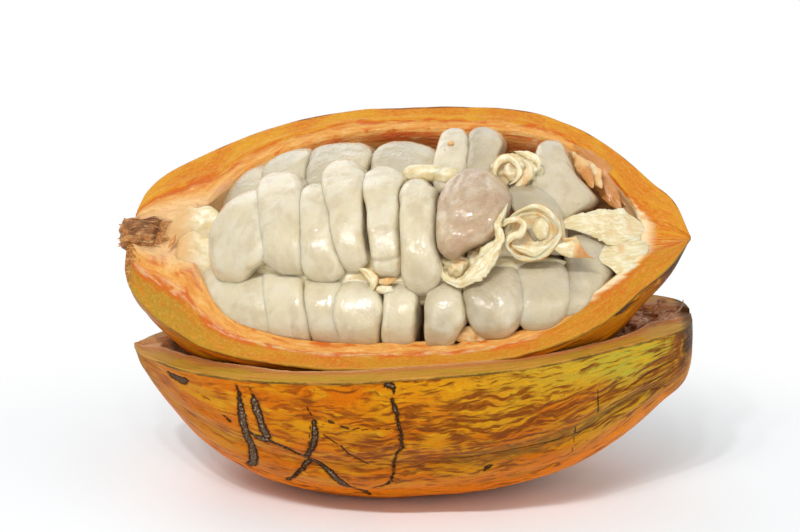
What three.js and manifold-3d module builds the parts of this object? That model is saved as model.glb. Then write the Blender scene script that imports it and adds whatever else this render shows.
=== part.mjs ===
// An open cacao pod: one pod cut lengthwise in two. The emptied half husk lies on its
// belly with the opening up, its blunt stem end to +X. The other half, which still holds
// the whole mass of pulp-covered beans, lies rolled towards the front on the emptied one,
// its stem to -X. Millimetres, +Z up, +X along the pod, -Y to the front.
// The origin is under the middle of the object, on the surface that it rests on.

import * as THREE from 'three';
import { mergeVertices } from 'three/addons/utils/BufferGeometryUtils.js';
import Module from 'manifold-3d';

const wasm = await Module();
wasm.setup();

// ---------------------------------------------------------------- driving dimensions

const GAP = 0.35;                // clearance kept between neighbouring pieces
const PATCH_DEPTH = 1.2;         // how far the resting belly is pressed flat
const RIM_LIFT = 60;             // how far the cavity cutter reaches above the cut face
const HUSK_STEPS = { along: 30, round: 28 };
const CAVITY_STEPS = { along: 20, round: 18 };
const BEAN_STEPS = { along: 7, round: 12 };

// Outer outline of each half, from one end to the other: place along the pod, then the
// radius at the far edge, at the near edge and at the belly.
const FULL_HUSK = [
  [-80, 6, 7.5, 7],
  [-78.6, 13.5, 16.3, 14.5],
  [-74, 21, 25, 22],
  [-64.5, 28.5, 34, 30.4],
  [-50.5, 37.6, 42.4, 39.2],
  [-36, 44, 46.8, 44.1],
  [-20, 47.8, 49, 46.5],
  [-4, 49.2, 49.2, 47.2],
  [14, 50, 47.6, 46.8],
  [34, 47.6, 44.2, 43.9],
  [49.5, 40.6, 38.4, 37.7],
  [62, 31, 30, 29],
  [72.5, 19.6, 17.6, 18],
  [79, 12.3, 9.4, 10],
  [84, 0, 0, 0],
];
const EMPTY_HUSK = [
  [-82, 0, 0, 0],
  [-79, 9.5, 8, 6.6],
  [-72.5, 18, 17, 16.8],
  [-63, 28, 28, 28.6],
  [-50, 38, 38.2, 38.1],
  [-34, 46, 46, 44.6],
  [-16, 49.8, 50.6, 47.8],
  [3, 49.5, 50.6, 48.4],
  [23, 47.5, 49, 47.4],
  [43, 42, 42.6, 43],
  [59, 33, 32.4, 35.4],
  [72, 24, 23.6, 25.4],
  [78.5, 17.5, 17, 20.5],
  [81, 12, 12, 15],
  [82, 6, 6, 8],
];

// The hollow inside each half, listed in the same way.
const FULL_CAVITY = [
  [-63, 0, 0, 0],
  [-60, 8, 8.5, 9],
  [-51, 20.5, 23.5, 22],
  [-41, 29, 32.5, 31],
  [-26, 36, 38.2, 36.6],
  [-8, 39, 40.2, 38.2],
  [14, 40.2, 39.2, 38.2],
  [32, 38.4, 35.8, 35.6],
  [48, 32.5, 28.5, 29],
  [60, 22, 17.5, 19],
  [68, 9, 7, 8],
  [70, 0, 0, 0],
];
const EMPTY_CAVITY = [
  [-74, 0, 0, 0],
  [-70, 8, 7, 6],
  [-60, 18, 17.5, 16],
  [-46, 28.5, 28.6, 27],
  [-28, 37.2, 38.5, 35.6],
  [-6, 40, 42.3, 38],
  [18, 39, 42.4, 38],
  [38, 34.5, 37.1, 34],
  [54, 26.5, 27.5, 27],
  [66, 16, 16, 16],
  [72, 0, 0, 0],
];

// Furrows down the skin: angle from the near edge round the belly (degrees), depth, and
// half width (degrees). The emptied half lies on the ridges beside its deep middle furrow.
const FULL_FURROWS = [
  [11, 1.7, 7],
  [46, 1.6, 6],
  [84, 2.2, 7],
  [122, 1.6, 6],
  [157, 1.4, 6],
];
const EMPTY_FURROWS = [
  [34, 1.5, 5.5],
  [55, 1.1, 5],
  [93.3, 3, 8],
  [126, 1.1, 5],
  [149, 1.5, 5.5],
];
const FURROW_REACH = 76;         // furrows fade out this far from the middle

// Where each half lies: place of its middle, then roll, pitch and yaw in degrees.
const FULL_POSE = { at: [-1.4, 0, 75.9], turn: [35.2, -1.85, -10.5] };
const EMPTY_POSE = { at: [2.1, 0, 46.4], turn: [-3.2, -4.6, -3.2] };

// ---------------------------------------------------------------- colours and finish

const SKIN = { color: 0xd08a18, roughness: 0.45, metalness: 0 };
const PULP = { color: 0xe2dac8, roughness: 0.28, metalness: 0 };
const MEMBRANE = { color: 0xe6d6a8, roughness: 0.4, metalness: 0 };
const BARK = { color: 0x6b4a35, roughness: 0.85, metalness: 0 };

// ---------------------------------------------------------------- helpers

const rad = THREE.MathUtils.degToRad;

// A smooth value between stations: cubic pieces whose slope at a station is the mean of
// the slopes on its two sides.
function between(stations, column, x) {
  const last = stations.length - 1;
  const slope = (i) => {
    const a = Math.max(i - 1, 0);
    const b = Math.min(i + 1, last);
    return (stations[b][column] - stations[a][column]) / (stations[b][0] - stations[a][0]);
  };
  let i = 0;
  while (i < last - 1 && x > stations[i + 1][0]) {
    i += 1;
  }
  const step = stations[i + 1][0] - stations[i][0];
  const t = THREE.MathUtils.clamp((x - stations[i][0]) / step, 0, 1);
  const rise = t * t * (3 - 2 * t);
  const value = stations[i][column] * (1 - rise) + stations[i + 1][column] * rise;
  const bend = t * (1 - t) * (1 - t) * slope(i) - t * t * (1 - t) * slope(i + 1);
  return Math.max(value + bend * step, 0);
}

// Radius of an outline at one place and angle: the edge values blend into the belly.
function radiusAt(outline, x, angle) {
  const side = between(outline, Math.cos(angle) > 0 ? 2 : 1, x);
  const belly = between(outline, 3, x);
  return side * Math.cos(angle) ** 2 + belly * Math.sin(angle) ** 2;
}

function furrowDepth(furrows, x, angle) {
  const degrees = THREE.MathUtils.radToDeg(angle);
  const fade = Math.max(1 - (x / FURROW_REACH) ** 4, 0);
  let depth = 0;
  for (const [at, deep, width] of furrows) {
    depth += deep * Math.exp(-(((degrees - at) / width) ** 2));
  }
  return depth * fade;
}

// A closed body through rings of equal length, each closed by a point at both ends.
function ringBody(rings, firstPole, lastPole) {
  const count = rings[0].length;
  const points = [firstPole, ...rings.flat(), lastPole];
  const faces = [];
  const lastRing = 1 + (rings.length - 1) * count;
  for (let j = 0; j < count; j += 1) {
    const k = (j + 1) % count;
    faces.push(0, 1 + k, 1 + j);
    faces.push(points.length - 1, lastRing + j, lastRing + k);
    for (let i = 0; i < rings.length - 1; i += 1) {
      const a = 1 + i * count;
      const b = a + count;
      faces.push(a + j, a + k, b + j);
      faces.push(b + j, a + k, b + k);
    }
  }
  const geometry = new THREE.BufferGeometry();
  const position = points.flatMap((p) => [p.x, p.y, p.z]);
  geometry.setAttribute('position', new THREE.Float32BufferAttribute(position, 3));
  geometry.setIndex(faces);
  return geometry;
}

function toSolid(geometry) {
  const bare = geometry.clone();
  bare.deleteAttribute('normal');
  bare.deleteAttribute('uv');
  const merged = mergeVertices(bare, 1e-4);
  const mesh = new wasm.Mesh({
    numProp: 3,
    vertProperties: new Float32Array(merged.attributes.position.array),
    triVerts: new Uint32Array(merged.index.array),
  });
  return new wasm.Manifold(mesh);
}

function toGeometry(solid) {
  const mesh = solid.getMesh();
  const geometry = new THREE.BufferGeometry();
  geometry.setAttribute('position', new THREE.BufferAttribute(mesh.vertProperties, 3));
  geometry.setIndex(new THREE.BufferAttribute(mesh.triVerts, 1));
  return geometry;
}

function poseMatrix({ at, turn }) {
  const [roll, pitch, yaw] = turn.map(rad);
  const angles = new THREE.Euler(roll, pitch, yaw, 'ZYX');
  const matrix = new THREE.Matrix4().makeRotationFromEuler(angles);
  return matrix.setPosition(...at);
}

// Places along an outline, closer together towards both ends, where it curves most.
function placesAlong(outline, steps) {
  const first = outline[0][0];
  const last = outline[outline.length - 1][0];
  const places = [];
  for (let i = 1; i < steps; i += 1) {
    const t = (1 - Math.cos((Math.PI * i) / steps)) / 2;
    places.push(first + (last - first) * (0.35 * (i / steps) + 0.65 * t));
  }
  return places;
}

// ---------------------------------------------------------------- the husk

// Half of the pod's outer body, its flat side on the cut plane.
function outerHalf(outline, furrows) {
  const { along, round } = HUSK_STEPS;
  const first = outline[0];
  const last = outline[outline.length - 1];
  const blunt = (end, inward) => (end[3] > 0 ? [end[0] + inward] : []);
  const places = [
    ...blunt(first, 0.01),
    ...placesAlong(outline, along),
    ...blunt(last, -0.01),
  ];
  const rings = places.map((x) => {
    const ring = [];
    for (let j = 0; j <= round; j += 1) {
      const angle = (Math.PI * j) / round;
      const r = radiusAt(outline, x, angle) - furrowDepth(furrows, x, angle);
      ring.push(new THREE.Vector3(x, -r * Math.cos(angle), -r * Math.sin(angle)));
    }
    return ring;
  });
  const pole = (end) => new THREE.Vector3(end[0], 0, end[3] > 0 ? -end[3] / 2 : 0);
  return ringBody(rings, pole(first), pole(last));
}

// The hollow, carried straight up above the cut plane. A positive grow widens it.
function hollow(outline, grow = 0) {
  const { along, round } = CAVITY_STEPS;
  const first = outline[0][0];
  const last = outline[outline.length - 1][0];
  const rings = placesAlong(outline, along).map((x) => {
    const ring = [];
    for (let j = 0; j <= round; j += 1) {
      const angle = (Math.PI * j) / round;
      const r = Math.max(radiusAt(outline, x, angle) + grow, 0.05);
      ring.push(new THREE.Vector3(x, -r * Math.cos(angle), -r * Math.sin(angle)));
    }
    ring.unshift(new THREE.Vector3(x, ring[0].y, RIM_LIFT));
    ring.push(new THREE.Vector3(x, ring[ring.length - 1].y, RIM_LIFT));
    return ring;
  });
  const middle = RIM_LIFT / 2;
  return ringBody(
    rings,
    new THREE.Vector3(first - grow, 0, middle),
    new THREE.Vector3(last + grow, 0, middle),
  );
}

function huskHalf(outline, furrows, cavity) {
  return toSolid(outerHalf(outline, furrows)).subtract(toSolid(hollow(cavity)));
}

// Lifts the resting belly's lowest rounding off, so that it lies on a small flat patch.
function pressFlat(solid) {
  const low = solid.boundingBox().min[2] + PATCH_DEPTH;
  const floor = new THREE.BoxGeometry(400, 400, 100);
  floor.translate(0, 0, low - 50);
  return solid.subtract(toSolid(floor));
}

// ---------------------------------------------------------------- the beans

// The five rows round the placenta, seen along the pod: middle of a bean and its half
// sizes across the row, for the widest part of the hollow, then its turn in degrees.
const ROWS = {
  mid: { at: [-4, 8], half: [14.6, 9.3], turn: 6 },
  near: { at: [-27.3, -3], half: [11.2, 10.6], turn: 0 },
  far: { at: [19.5, -3.5], half: [11.2, 9.3], turn: -6 },
  under_near: { at: [-13.5, -23.3], half: [11.3, 9.4], turn: 20 },
  under_far: { at: [13.7, -23.6], half: [11.2, 9.2], turn: -20 },
};
const WIDEST = 40;               // radius of the hollow that the rows are laid out for

// Each row's beans: place along the pod and half thickness.
const BEANS = {
  mid: [
    [-43.2, 7], [-30.3, 5.4], [-21.2, 3.3], [-12, 5.3],
    [-1.3, 4.9], [9.2, 5], [23.8, 9], [40, 6.4],
  ],
  near: [
    [-41.5, 7.8], [-27.6, 5.7], [-16, 5.3], [-4.9, 5.2], [5.2, 4.4],
    [18.6, 5], [32.1, 8], [46, 5.4], [56, 4],
  ],
  far: [
    [-48.5, 5.2], [-36.8, 6], [-20.6, 9.6], [-1.2, 9.2],
    [13.2, 4.7], [23.2, 4.6], [43.5, 6.4],
  ],
  under_near: [
    [-45, 5.4], [-32.5, 6.5], [-18.5, 6.8], [-4.5, 6.6],
    [9.5, 6.8], [23.5, 6.6], [37.5, 6.8], [49.5, 4.6],
  ],
  under_far: [
    [-43, 6.2], [-29.5, 6.7], [-15.5, 6.7], [-1.5, 6.7],
    [12.5, 6.7], [26.5, 6.7], [40, 6.2], [51, 4.2],
  ],
};
const BEAN_FACES = 3.2;          // 2 is a rounded bean, more makes its pressed faces flatter

// Half the hollow's width at one place, as a share of its widest part.
function fullness(x) {
  const far = between(FULL_CAVITY, 1, x);
  const near = between(FULL_CAVITY, 2, x);
  const belly = between(FULL_CAVITY, 3, x);
  return Math.min(far, near, belly) / WIDEST;
}

// A bean lies across the pod: an ellipse across, with its two faces pressed flat by its
// neighbours in the row.
function beanBody(row, [x, thick], grow = 0) {
  const { along, round } = BEAN_STEPS;
  const size = fullness(Math.abs(x) < 20 ? x : x + Math.sign(x) * thick * 0.6) * 1.04;
  const turn = rad(row.turn);
  const rings = [];
  for (let i = 1; i <= along; i += 1) {
    const lean = Math.PI * (i / (along + 1) - 0.5);
    const out = Math.cos(lean) ** (2 / BEAN_FACES);
    const step = Math.sign(lean) * Math.abs(Math.sin(lean)) ** (2 / BEAN_FACES);
    const ring = [];
    for (let j = 0; j < round; j += 1) {
      const angle = (2 * Math.PI * j) / round;
      const a = (row.half[0] * size + grow) * out * Math.cos(angle);
      const b = (row.half[1] * size + grow) * out * Math.sin(angle);
      ring.push(new THREE.Vector3(
        x + (thick + grow) * step,
        row.at[0] * size + a * Math.cos(turn) - b * Math.sin(turn),
        row.at[1] * size + a * Math.sin(turn) + b * Math.cos(turn),
      ));
    }
    rings.push(ring);
  }
  const face = (side) => new THREE.Vector3(
    x + side * (thick + grow),
    row.at[0] * size,
    row.at[1] * size,
  );
  return toSolid(ringBody(rings, face(-1), face(1)));
}

// ---------------------------------------------------------------- pulp and placenta

// A soft lump: an ellipsoid with low waves over it.
function lump(at, half, waves = 0.08) {
  const ball = new THREE.SphereGeometry(1, 14, 9);
  ball.deleteAttribute('normal');
  ball.deleteAttribute('uv');
  const round = mergeVertices(ball, 1e-4);
  const place = round.attributes.position;
  const p = new THREE.Vector3();
  for (let i = 0; i < place.count; i += 1) {
    p.fromBufferAttribute(place, i);
    p.multiplyScalar(1 + waves * Math.sin(3 * p.x + 1) * Math.cos(4 * p.y + 2 * p.z));
    place.setXYZ(i, at[0] + half[0] * p.x, at[1] + half[1] * p.y, at[2] + half[2] * p.z);
  }
  return toSolid(round);
}

// A strand of one oval section carried along a smooth path.
function strand(path, half, steps) {
  const oval = new THREE.Shape();
  oval.absellipse(0, 0, half[0], half[1], 0, 2 * Math.PI, false, 0);
  const route = new THREE.CatmullRomCurve3(path.map((p) => new THREE.Vector3(...p)));
  const options = { steps, curveSegments: 4, extrudePath: route };
  return toSolid(new THREE.ExtrudeGeometry(oval, options));
}

// The torn ring of placenta that stands up on the beans near the tip.
function curl(at, ringRadius, thickness) {
  const ring = new THREE.TorusGeometry(ringRadius, thickness, 8, 18);
  ring.scale(1, 1, 1.3);
  ring.rotateX(rad(24));
  ring.translate(...at);
  return toSolid(ring);
}

// ---------------------------------------------------------------- stem and torn end

// The rest of the fruit stalk: a short, lumpy, frayed stub let into the husk's end.
const STEM = { from: -83.5, to: -73.5, at: [-1.8, -1.4], half: [5, 4.4] };

function stemBody(grow = 0) {
  const rings = [];
  const steps = 5;
  for (let i = 0; i <= steps; i += 1) {
    const t = i / steps;
    const x = STEM.from - grow + (STEM.to - STEM.from + 2 * grow) * t;
    const swell = 0.86 + 0.2 * Math.sin(Math.PI * (0.25 + 0.6 * t));
    const ring = [];
    for (let j = 0; j < 14; j += 1) {
      const angle = (2 * Math.PI * j) / 14;
      const rough = swell * (1 + 0.05 * Math.sin(3 * angle + 4 * t));
      const a = (STEM.half[0] * rough + grow) * Math.cos(angle);
      const b = (STEM.half[1] * rough + grow) * Math.sin(angle);
      ring.push(new THREE.Vector3(x, STEM.at[0] + a, STEM.at[1] + b));
    }
    rings.push(ring);
  }
  const end = (x) => new THREE.Vector3(x, STEM.at[0], STEM.at[1]);
  return toSolid(ringBody(rings, end(STEM.from - grow - 0.5), end(STEM.to + grow + 0.5)));
}

// ---------------------------------------------------------------- assembly

function named(name, solid, finish) {
  const mesh = new THREE.Mesh(toGeometry(solid), new THREE.MeshStandardMaterial(finish));
  mesh.name = name;
  return mesh;
}

// Beans fill the hollow, each row numbered from the stem end to the tip.
function beanMeshes(room) {
  const meshes = [];
  const grown = [];
  for (const [rowName, beans] of Object.entries(BEANS)) {
    beans.forEach((bean, i) => {
      const solid = beanBody(ROWS[rowName], bean).intersect(room);
      meshes.push(named(`bean_${rowName}_${i + 1}`, solid, PULP));
      grown.push(beanBody(ROWS[rowName], bean, GAP));
    });
  }
  return { meshes, grown };
}

// Soft pieces fill what the beans leave free, so each is cut back from them and from the
// soft pieces before it.
function softMeshes(room, beans) {
  const core = [[-49, -1, -7], [-20, -3, -8], [10, -3, -8.5], [36, -2, -7.5], [54, -1, -4]];
  const loop = [[16, -19.5, 14], [20.5, -26, 13.5], [28.5, -29.5, 12.5], [33.5, -25, 14]];
  const tail = [[34.5, -16, 16.5], [33.5, -7, 17.5]];
  const band = [[49, -7, 13], [54, -3, 9.5], [59, 0, 6], [64, 1, 3]];
  const flap = [[52, -17.5, 12.5], [55, -17, 11.5], [58, -16, 10]];
  const pieces = [
    ['placenta_core', strand(core, [3.6, 3.8], 14), 'in'],
    ['pulp_stem_end', lump([-56.5, 0, -2], [5.5, 11, 8.5]), 'in'],
    ['pulp_tip_end', lump([62.5, 0.5, -2], [6, 9, 7]), 'in'],
    ['placenta_strand', strand([...loop, ...tail], [2.4, 1.8], 20), 'out'],
    ['placenta_curl', curl([44, -13, 17], 6.2, 1.7), 'out'],
    ['placenta_band', strand(band, [3.2, 1.4], 8), 'in'],
    ['placenta_flap', strand(flap, [2.4, 1], 6), 'out'],
    ['membrane_torn', lump([34.5, 13.5, 9], [5, 5.5, 4], 0.2), 'in'],
    ['membrane_bit', lump([7.2, 9.8, 13.5], [4.6, 3, 2], 0.2), 'out'],
    ['placenta_crumbs', lump([1, -27.5, 10], [5.2, 2.6, 1.9], 0.2), 'out'],
  ];
  const taken = [...beans];
  return pieces.map(([name, body, where]) => {
    let solid = body.subtract(wasm.Manifold.union(taken));
    if (where === 'in') {
      solid = solid.intersect(room);
    }
    const grown = toGeometry(solid);
    grown.computeBoundingSphere();
    const { center, radius } = grown.boundingSphere;
    const scale = 1 + (3 * GAP) / radius;
    taken.push(
      solid.translate([-center.x, -center.y, -center.z])
        .scale(scale)
        .translate([center.x, center.y, center.z]),
    );
    return named(name, solid, name.startsWith('pulp') ? PULP : MEMBRANE);
  });
}

function fullHalf() {
  const half = new THREE.Group();
  const room = toSolid(hollow(FULL_CAVITY, -GAP));
  const husk = huskHalf(FULL_HUSK, FULL_FURROWS, FULL_CAVITY).subtract(stemBody(GAP));
  const { meshes, grown } = beanMeshes(room);
  half.add(named('husk_full_half', husk, SKIN));
  half.add(named('stem', stemBody(), BARK));
  half.add(...meshes);
  half.add(...softMeshes(room, grown));
  half.applyMatrix4(poseMatrix(FULL_POSE));
  return half;
}

function emptyHalf() {
  const half = new THREE.Group();
  const room = toSolid(hollow(EMPTY_CAVITY, -GAP));
  const husk = huskHalf(EMPTY_HUSK, EMPTY_FURROWS, EMPTY_CAVITY)
    .transform(poseMatrix(EMPTY_POSE).elements);
  half.add(named('husk_empty_half', pressFlat(husk), SKIN));
  const pith = lump([64.5, 1, -5.2], [5.5, 9.5, 4.8], 0.15).intersect(room);
  half.add(named('torn_pith', pith.transform(poseMatrix(EMPTY_POSE).elements), MEMBRANE));
  return half;
}

const pod = new THREE.Group();
pod.add(emptyHalf(), fullHalf());

// The origin goes under the middle of the whole object, on its resting surface.
pod.updateMatrixWorld(true);
const box = new THREE.Box3().setFromObject(pod, true);
const middle = box.getCenter(new THREE.Vector3());
pod.position.set(-middle.x, -middle.y, -box.min.z);

const model = new THREE.Group();
model.add(pod);
model.updateMatrixWorld(true);

export default model;
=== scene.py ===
"""An open cacao pod, cut lengthwise in two: the half that still holds the pulp-covered
beans lies rolled towards the front on the emptied half. All working sizes are in
millimetres in each half's own frame: u along the pod, v across it, w up out of its cut
face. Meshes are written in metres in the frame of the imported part."""

import math

import bpy
import numpy as np
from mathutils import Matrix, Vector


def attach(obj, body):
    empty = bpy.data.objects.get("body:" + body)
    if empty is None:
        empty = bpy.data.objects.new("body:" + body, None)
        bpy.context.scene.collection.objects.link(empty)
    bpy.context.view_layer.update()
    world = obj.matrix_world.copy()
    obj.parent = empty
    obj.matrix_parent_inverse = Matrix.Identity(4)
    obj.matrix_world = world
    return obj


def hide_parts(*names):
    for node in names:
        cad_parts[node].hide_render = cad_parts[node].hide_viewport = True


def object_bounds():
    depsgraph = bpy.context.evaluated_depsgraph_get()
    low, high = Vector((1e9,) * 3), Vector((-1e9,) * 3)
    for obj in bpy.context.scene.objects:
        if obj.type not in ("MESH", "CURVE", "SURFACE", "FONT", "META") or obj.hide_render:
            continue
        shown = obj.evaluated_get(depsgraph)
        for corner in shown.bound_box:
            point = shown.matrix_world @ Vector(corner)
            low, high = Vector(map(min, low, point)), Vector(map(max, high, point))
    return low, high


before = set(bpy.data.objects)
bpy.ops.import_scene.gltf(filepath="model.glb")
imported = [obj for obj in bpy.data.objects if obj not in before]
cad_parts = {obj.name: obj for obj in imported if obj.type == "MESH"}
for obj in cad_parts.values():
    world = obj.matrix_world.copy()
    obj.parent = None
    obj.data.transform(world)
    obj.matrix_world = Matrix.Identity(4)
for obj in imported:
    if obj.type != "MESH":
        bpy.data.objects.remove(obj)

bl_info = {
    "name": "Open Cacao Pod",
    "version": (1, 0, 0),
    "blender": (4, 5, 0),
    "location": "3D View > Sidebar > Cacao Pod",
    "description": "Builds a halved cacao pod with its beans, pulp, stem and stage",
    "category": "Add Mesh",
}

CAD_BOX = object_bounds()
MM = 0.001
DEGREE = 0.84                    # millimetres round the skin for one degree
BODY = "root"

# ---------------------------------------------------------------- the two halves

# Outlines: place along the pod, then the radius at the far edge, near edge and belly.
FULL_HUSK = [
    (-80, 6, 7.5, 7), (-78.6, 13.5, 16.3, 14.5), (-74, 21, 25, 22),
    (-64.5, 28.5, 34, 30.4), (-50.5, 37.6, 42.4, 39.2), (-36, 44, 46.8, 44.1),
    (-20, 47.8, 49, 46.5), (-4, 49.2, 49.2, 47.2), (14, 50, 47.6, 46.8),
    (34, 47.6, 44.2, 43.9), (49.5, 40.6, 38.4, 37.7), (62, 31, 30, 29),
    (72.5, 19.6, 17.6, 18), (79, 12.3, 9.4, 10), (84, 0, 0, 0),
]
EMPTY_HUSK = [
    (-82, 0, 0, 0), (-79, 9.5, 8, 6.6), (-72.5, 18, 17, 16.8), (-63, 28, 28, 28.6),
    (-50, 38, 38.2, 38.1), (-34, 46, 46, 44.6), (-16, 49.8, 50.6, 47.8),
    (3, 49.5, 50.6, 48.4), (23, 47.5, 49, 47.4), (43, 42, 42.6, 43),
    (59, 33, 32.4, 35.4), (72, 24, 23.6, 25.4), (78.5, 17.5, 17, 20.5),
    (81, 12, 12, 15), (82, 6, 6, 8),
]
FULL_CAVITY = [
    (-63, 0, 0, 0), (-60, 8, 8.5, 9), (-51, 20.5, 23.5, 22), (-41, 29, 32.5, 31),
    (-26, 36, 38.2, 36.6), (-8, 39, 40.2, 38.2), (14, 40.2, 39.2, 38.2),
    (32, 38.4, 35.8, 35.6), (48, 32.5, 28.5, 26), (60, 22, 17.5, 12), (68, 9, 7, 4),
    (70, 0, 0, 0),
]
EMPTY_CAVITY = [
    (-74, 0, 0, 0), (-70, 8, 7, 6), (-60, 18, 17.5, 16), (-46, 28.5, 28.6, 27),
    (-28, 37.2, 38.5, 35.6), (-6, 40, 42.3, 38), (18, 39, 42.4, 38),
    (38, 34.5, 37.1, 34), (54, 26.5, 27.5, 27), (66, 16, 16, 16), (72, 0, 0, 0),
]
# Furrows: angle from the near edge round the belly (degrees), depth, half width (degrees).
FULL_FURROWS = [(11, 1.7, 7), (46, 1.6, 6), (84, 2.2, 7), (122, 1.6, 6), (157, 1.4, 6)]
EMPTY_FURROWS = [(34, 1.5, 5.5), (55, 1.1, 5), (93.3, 3, 8), (126, 1.1, 5), (149, 1.5, 5.5)]
FURROW_REACH = 76

# Where each half lies in the frame: place of its middle, then roll, pitch and yaw.
FULL_POSE = ((-1.42, 0.087, 75.961), (35.2, -1.85, -10.5))
EMPTY_POSE = ((2.08, 0.087, 46.461), (-3.2, -4.6, -3.2))


def turn_matrix(angles):
    """Roll about X, then pitch about Y, then yaw about Z."""
    roll, pitch, yaw = np.radians(angles)
    cx, sx, cy, sy = np.cos(roll), np.sin(roll), np.cos(pitch), np.sin(pitch)
    cz, sz = np.cos(yaw), np.sin(yaw)
    about_x = np.array([[1, 0, 0], [0, cx, -sx], [0, sx, cx]])
    about_y = np.array([[cy, 0, sy], [0, 1, 0], [-sy, 0, cy]])
    about_z = np.array([[cz, -sz, 0], [sz, cz, 0], [0, 0, 1]])
    return about_z @ about_y @ about_x


def placed(points, pose):
    """Points of a half, in its own frame, taken to the frame of the part."""
    return points @ turn_matrix(pose[1]).T + np.array(pose[0])


# ---------------------------------------------------------------- shape functions

def between(stations, column, x):
    """Cubic pieces through the stations, whose slope at a station is the mean of the
    slopes on its two sides: value = a(1 - r) + b r + h (t(1-t)^2 sa - t^2(1-t) sb), with
    r = t^2 (3 - 2t)."""
    table = np.array(stations, float)
    xs, ys = table[:, 0], table[:, column]
    before = np.maximum(np.arange(len(xs)) - 1, 0)
    after = np.minimum(np.arange(len(xs)) + 1, len(xs) - 1)
    slope = (ys[after] - ys[before]) / (xs[after] - xs[before])
    x = np.asarray(x, float)
    i = np.clip(np.searchsorted(xs, x) - 1, 0, len(xs) - 2)
    h = xs[i + 1] - xs[i]
    t = np.clip((x - xs[i]) / h, 0, 1)
    r = t * t * (3 - 2 * t)
    bend = (t * (1 - t) ** 2 * slope[i] - t * t * (1 - t) * slope[i + 1]) * h
    return np.maximum(ys[i] * (1 - r) + ys[i + 1] * r + bend, 0)


def between_any(stations, column, x, lift=200):
    """between() for values that may lie below 0: they are lifted above it for a while."""
    raised = [(place, *(value + lift for value in values)) for place, *values in stations]
    return between(raised, column, x) - lift


def smooth(low, high, value):
    """0 below low, 1 above high, and t^2 (3 - 2t) between them."""
    t = np.clip((value - low) / (high - low), 0, 1)
    return t * t * (3 - 2 * t)


def hill(value, centre, width):
    """exp(-((value - centre) / width)^2)."""
    return np.exp(-(((value - centre) / width) ** 2))


CORNER_KEYS = np.array([73856093, 19349663, 83492791])   # mix a corner's place into one number
TOP = 0x7FFFFFFF                                         # the largest of those numbers


def grain(points, size, seed, layers=1):
    """Value noise from -1 to 1: a random number at each corner of a cubic lattice,
    blended with t^2 (3 - 2t) along each axis. Each further layer is half as large and
    half as strong."""
    points = np.asarray(points, float)
    total = np.zeros(points.shape[:-1])
    weight = 0.0
    for layer in range(layers):
        share = 0.5 ** layer
        cell = points * (2 ** layer / np.asarray(size, float)) + 17.3 * (layer + seed % 7)
        low = np.floor(cell).astype(np.int64)
        f = cell - low
        f = f * f * (3 - 2 * f)
        value = np.zeros(points.shape[:-1])
        for corner in range(8):
            step = np.array([corner & 1, corner >> 1 & 1, corner >> 2 & 1])
            key = (low + step) @ CORNER_KEYS
            key = (key ^ (seed * 2654435761)) & TOP
            key = (key * 1103515245 + 12345) & TOP
            key = ((key >> 7) * 69069 + 1) & TOP
            part = np.prod(np.where(step, f, 1 - f), axis=-1)
            value += part * (key / (TOP // 2) - 1)
        total += share * value
        weight += share
    return total / weight


def stack(*columns):
    """Columns that fit one shape as one array of points."""
    return np.stack(np.broadcast_arrays(*columns), axis=-1)


def around(count):
    """So many angles, once round."""
    return np.linspace(0, 2 * np.pi, count, endpoint=False)


def crowded(count, gap=0.02):
    """Places from 0 to 1 that crowd towards both ends: (1 - cos a) / 2, where a stops
    short of both its ends by the gap."""
    return (1 - np.cos(np.linspace(gap, math.pi - gap, count))) / 2


def cap(t, power):
    """(1 - |2t - 1|^power)^(1 / power): 0 at both ends and 1 in the middle."""
    return (1 - np.abs(2 * t - 1) ** power) ** (1 / power)


def oval(turn, power):
    """The cosine and sine of turn, each to the 2 / power with its sign kept: round at 2,
    squarer above it."""
    return [np.sign(part) * np.abs(part) ** (2 / power)
            for part in (np.cos(turn), np.sin(turn))]


def ball_of(rows, columns, gap=0.03):
    """A ball of radius 1 in rings from one end of x to the other: sin a, cos a cos b,
    cos a sin b, where a stops short of both poles by the gap."""
    lean = np.linspace(gap - math.pi / 2, math.pi / 2 - gap, rows)[:, None]
    turn = around(columns)
    return stack(np.sin(lean), np.cos(lean) * np.cos(turn), np.cos(lean) * np.sin(turn))


def to_line(x, y, a, b):
    """The share of the way from a to b at which the line is nearest to each place, and
    its distance there."""
    span = b[:2] - a[:2]
    t = ((x - a[0]) * span[0] + (y - a[1]) * span[1]) / (span @ span + 1e-9)
    t = np.clip(t, 0, 1)
    return t, np.hypot(x - a[0] - t * span[0], y - a[1] - t * span[1])


def radius(outline, x, angle):
    """side cos^2 + belly sin^2, where side is the near value up to a quarter turn."""
    side = np.where(np.cos(angle) > 0, between(outline, 2, x), between(outline, 1, x))
    return side * np.cos(angle) ** 2 + between(outline, 3, x) * np.sin(angle) ** 2


def furrow_depth(furrows, x, angle):
    """The sum of depth exp(-((angle - place) / width)^2), fading as 1 - (x / reach)^4."""
    degrees = np.degrees(angle)
    fade = np.maximum(1 - (x / FURROW_REACH) ** 4, 0)
    return fade * sum(depth * hill(degrees, at, width) for at, depth, width in furrows)


def spline(points, count):
    """A smooth path through the points, evenly spaced in the order given: each
    coordinate goes through between() against its share of the length."""
    points = np.array(points, float)
    steps = np.linalg.norm(np.diff(points, axis=0), axis=1)
    stations = np.column_stack([np.concatenate([[0], np.cumsum(steps)]), points])
    t = np.linspace(0, stations[-1, 0], count)
    return stack(*(between_any(stations, 1 + k, t) for k in range(points.shape[1])))


# ---------------------------------------------------------------- mesh making

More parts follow.
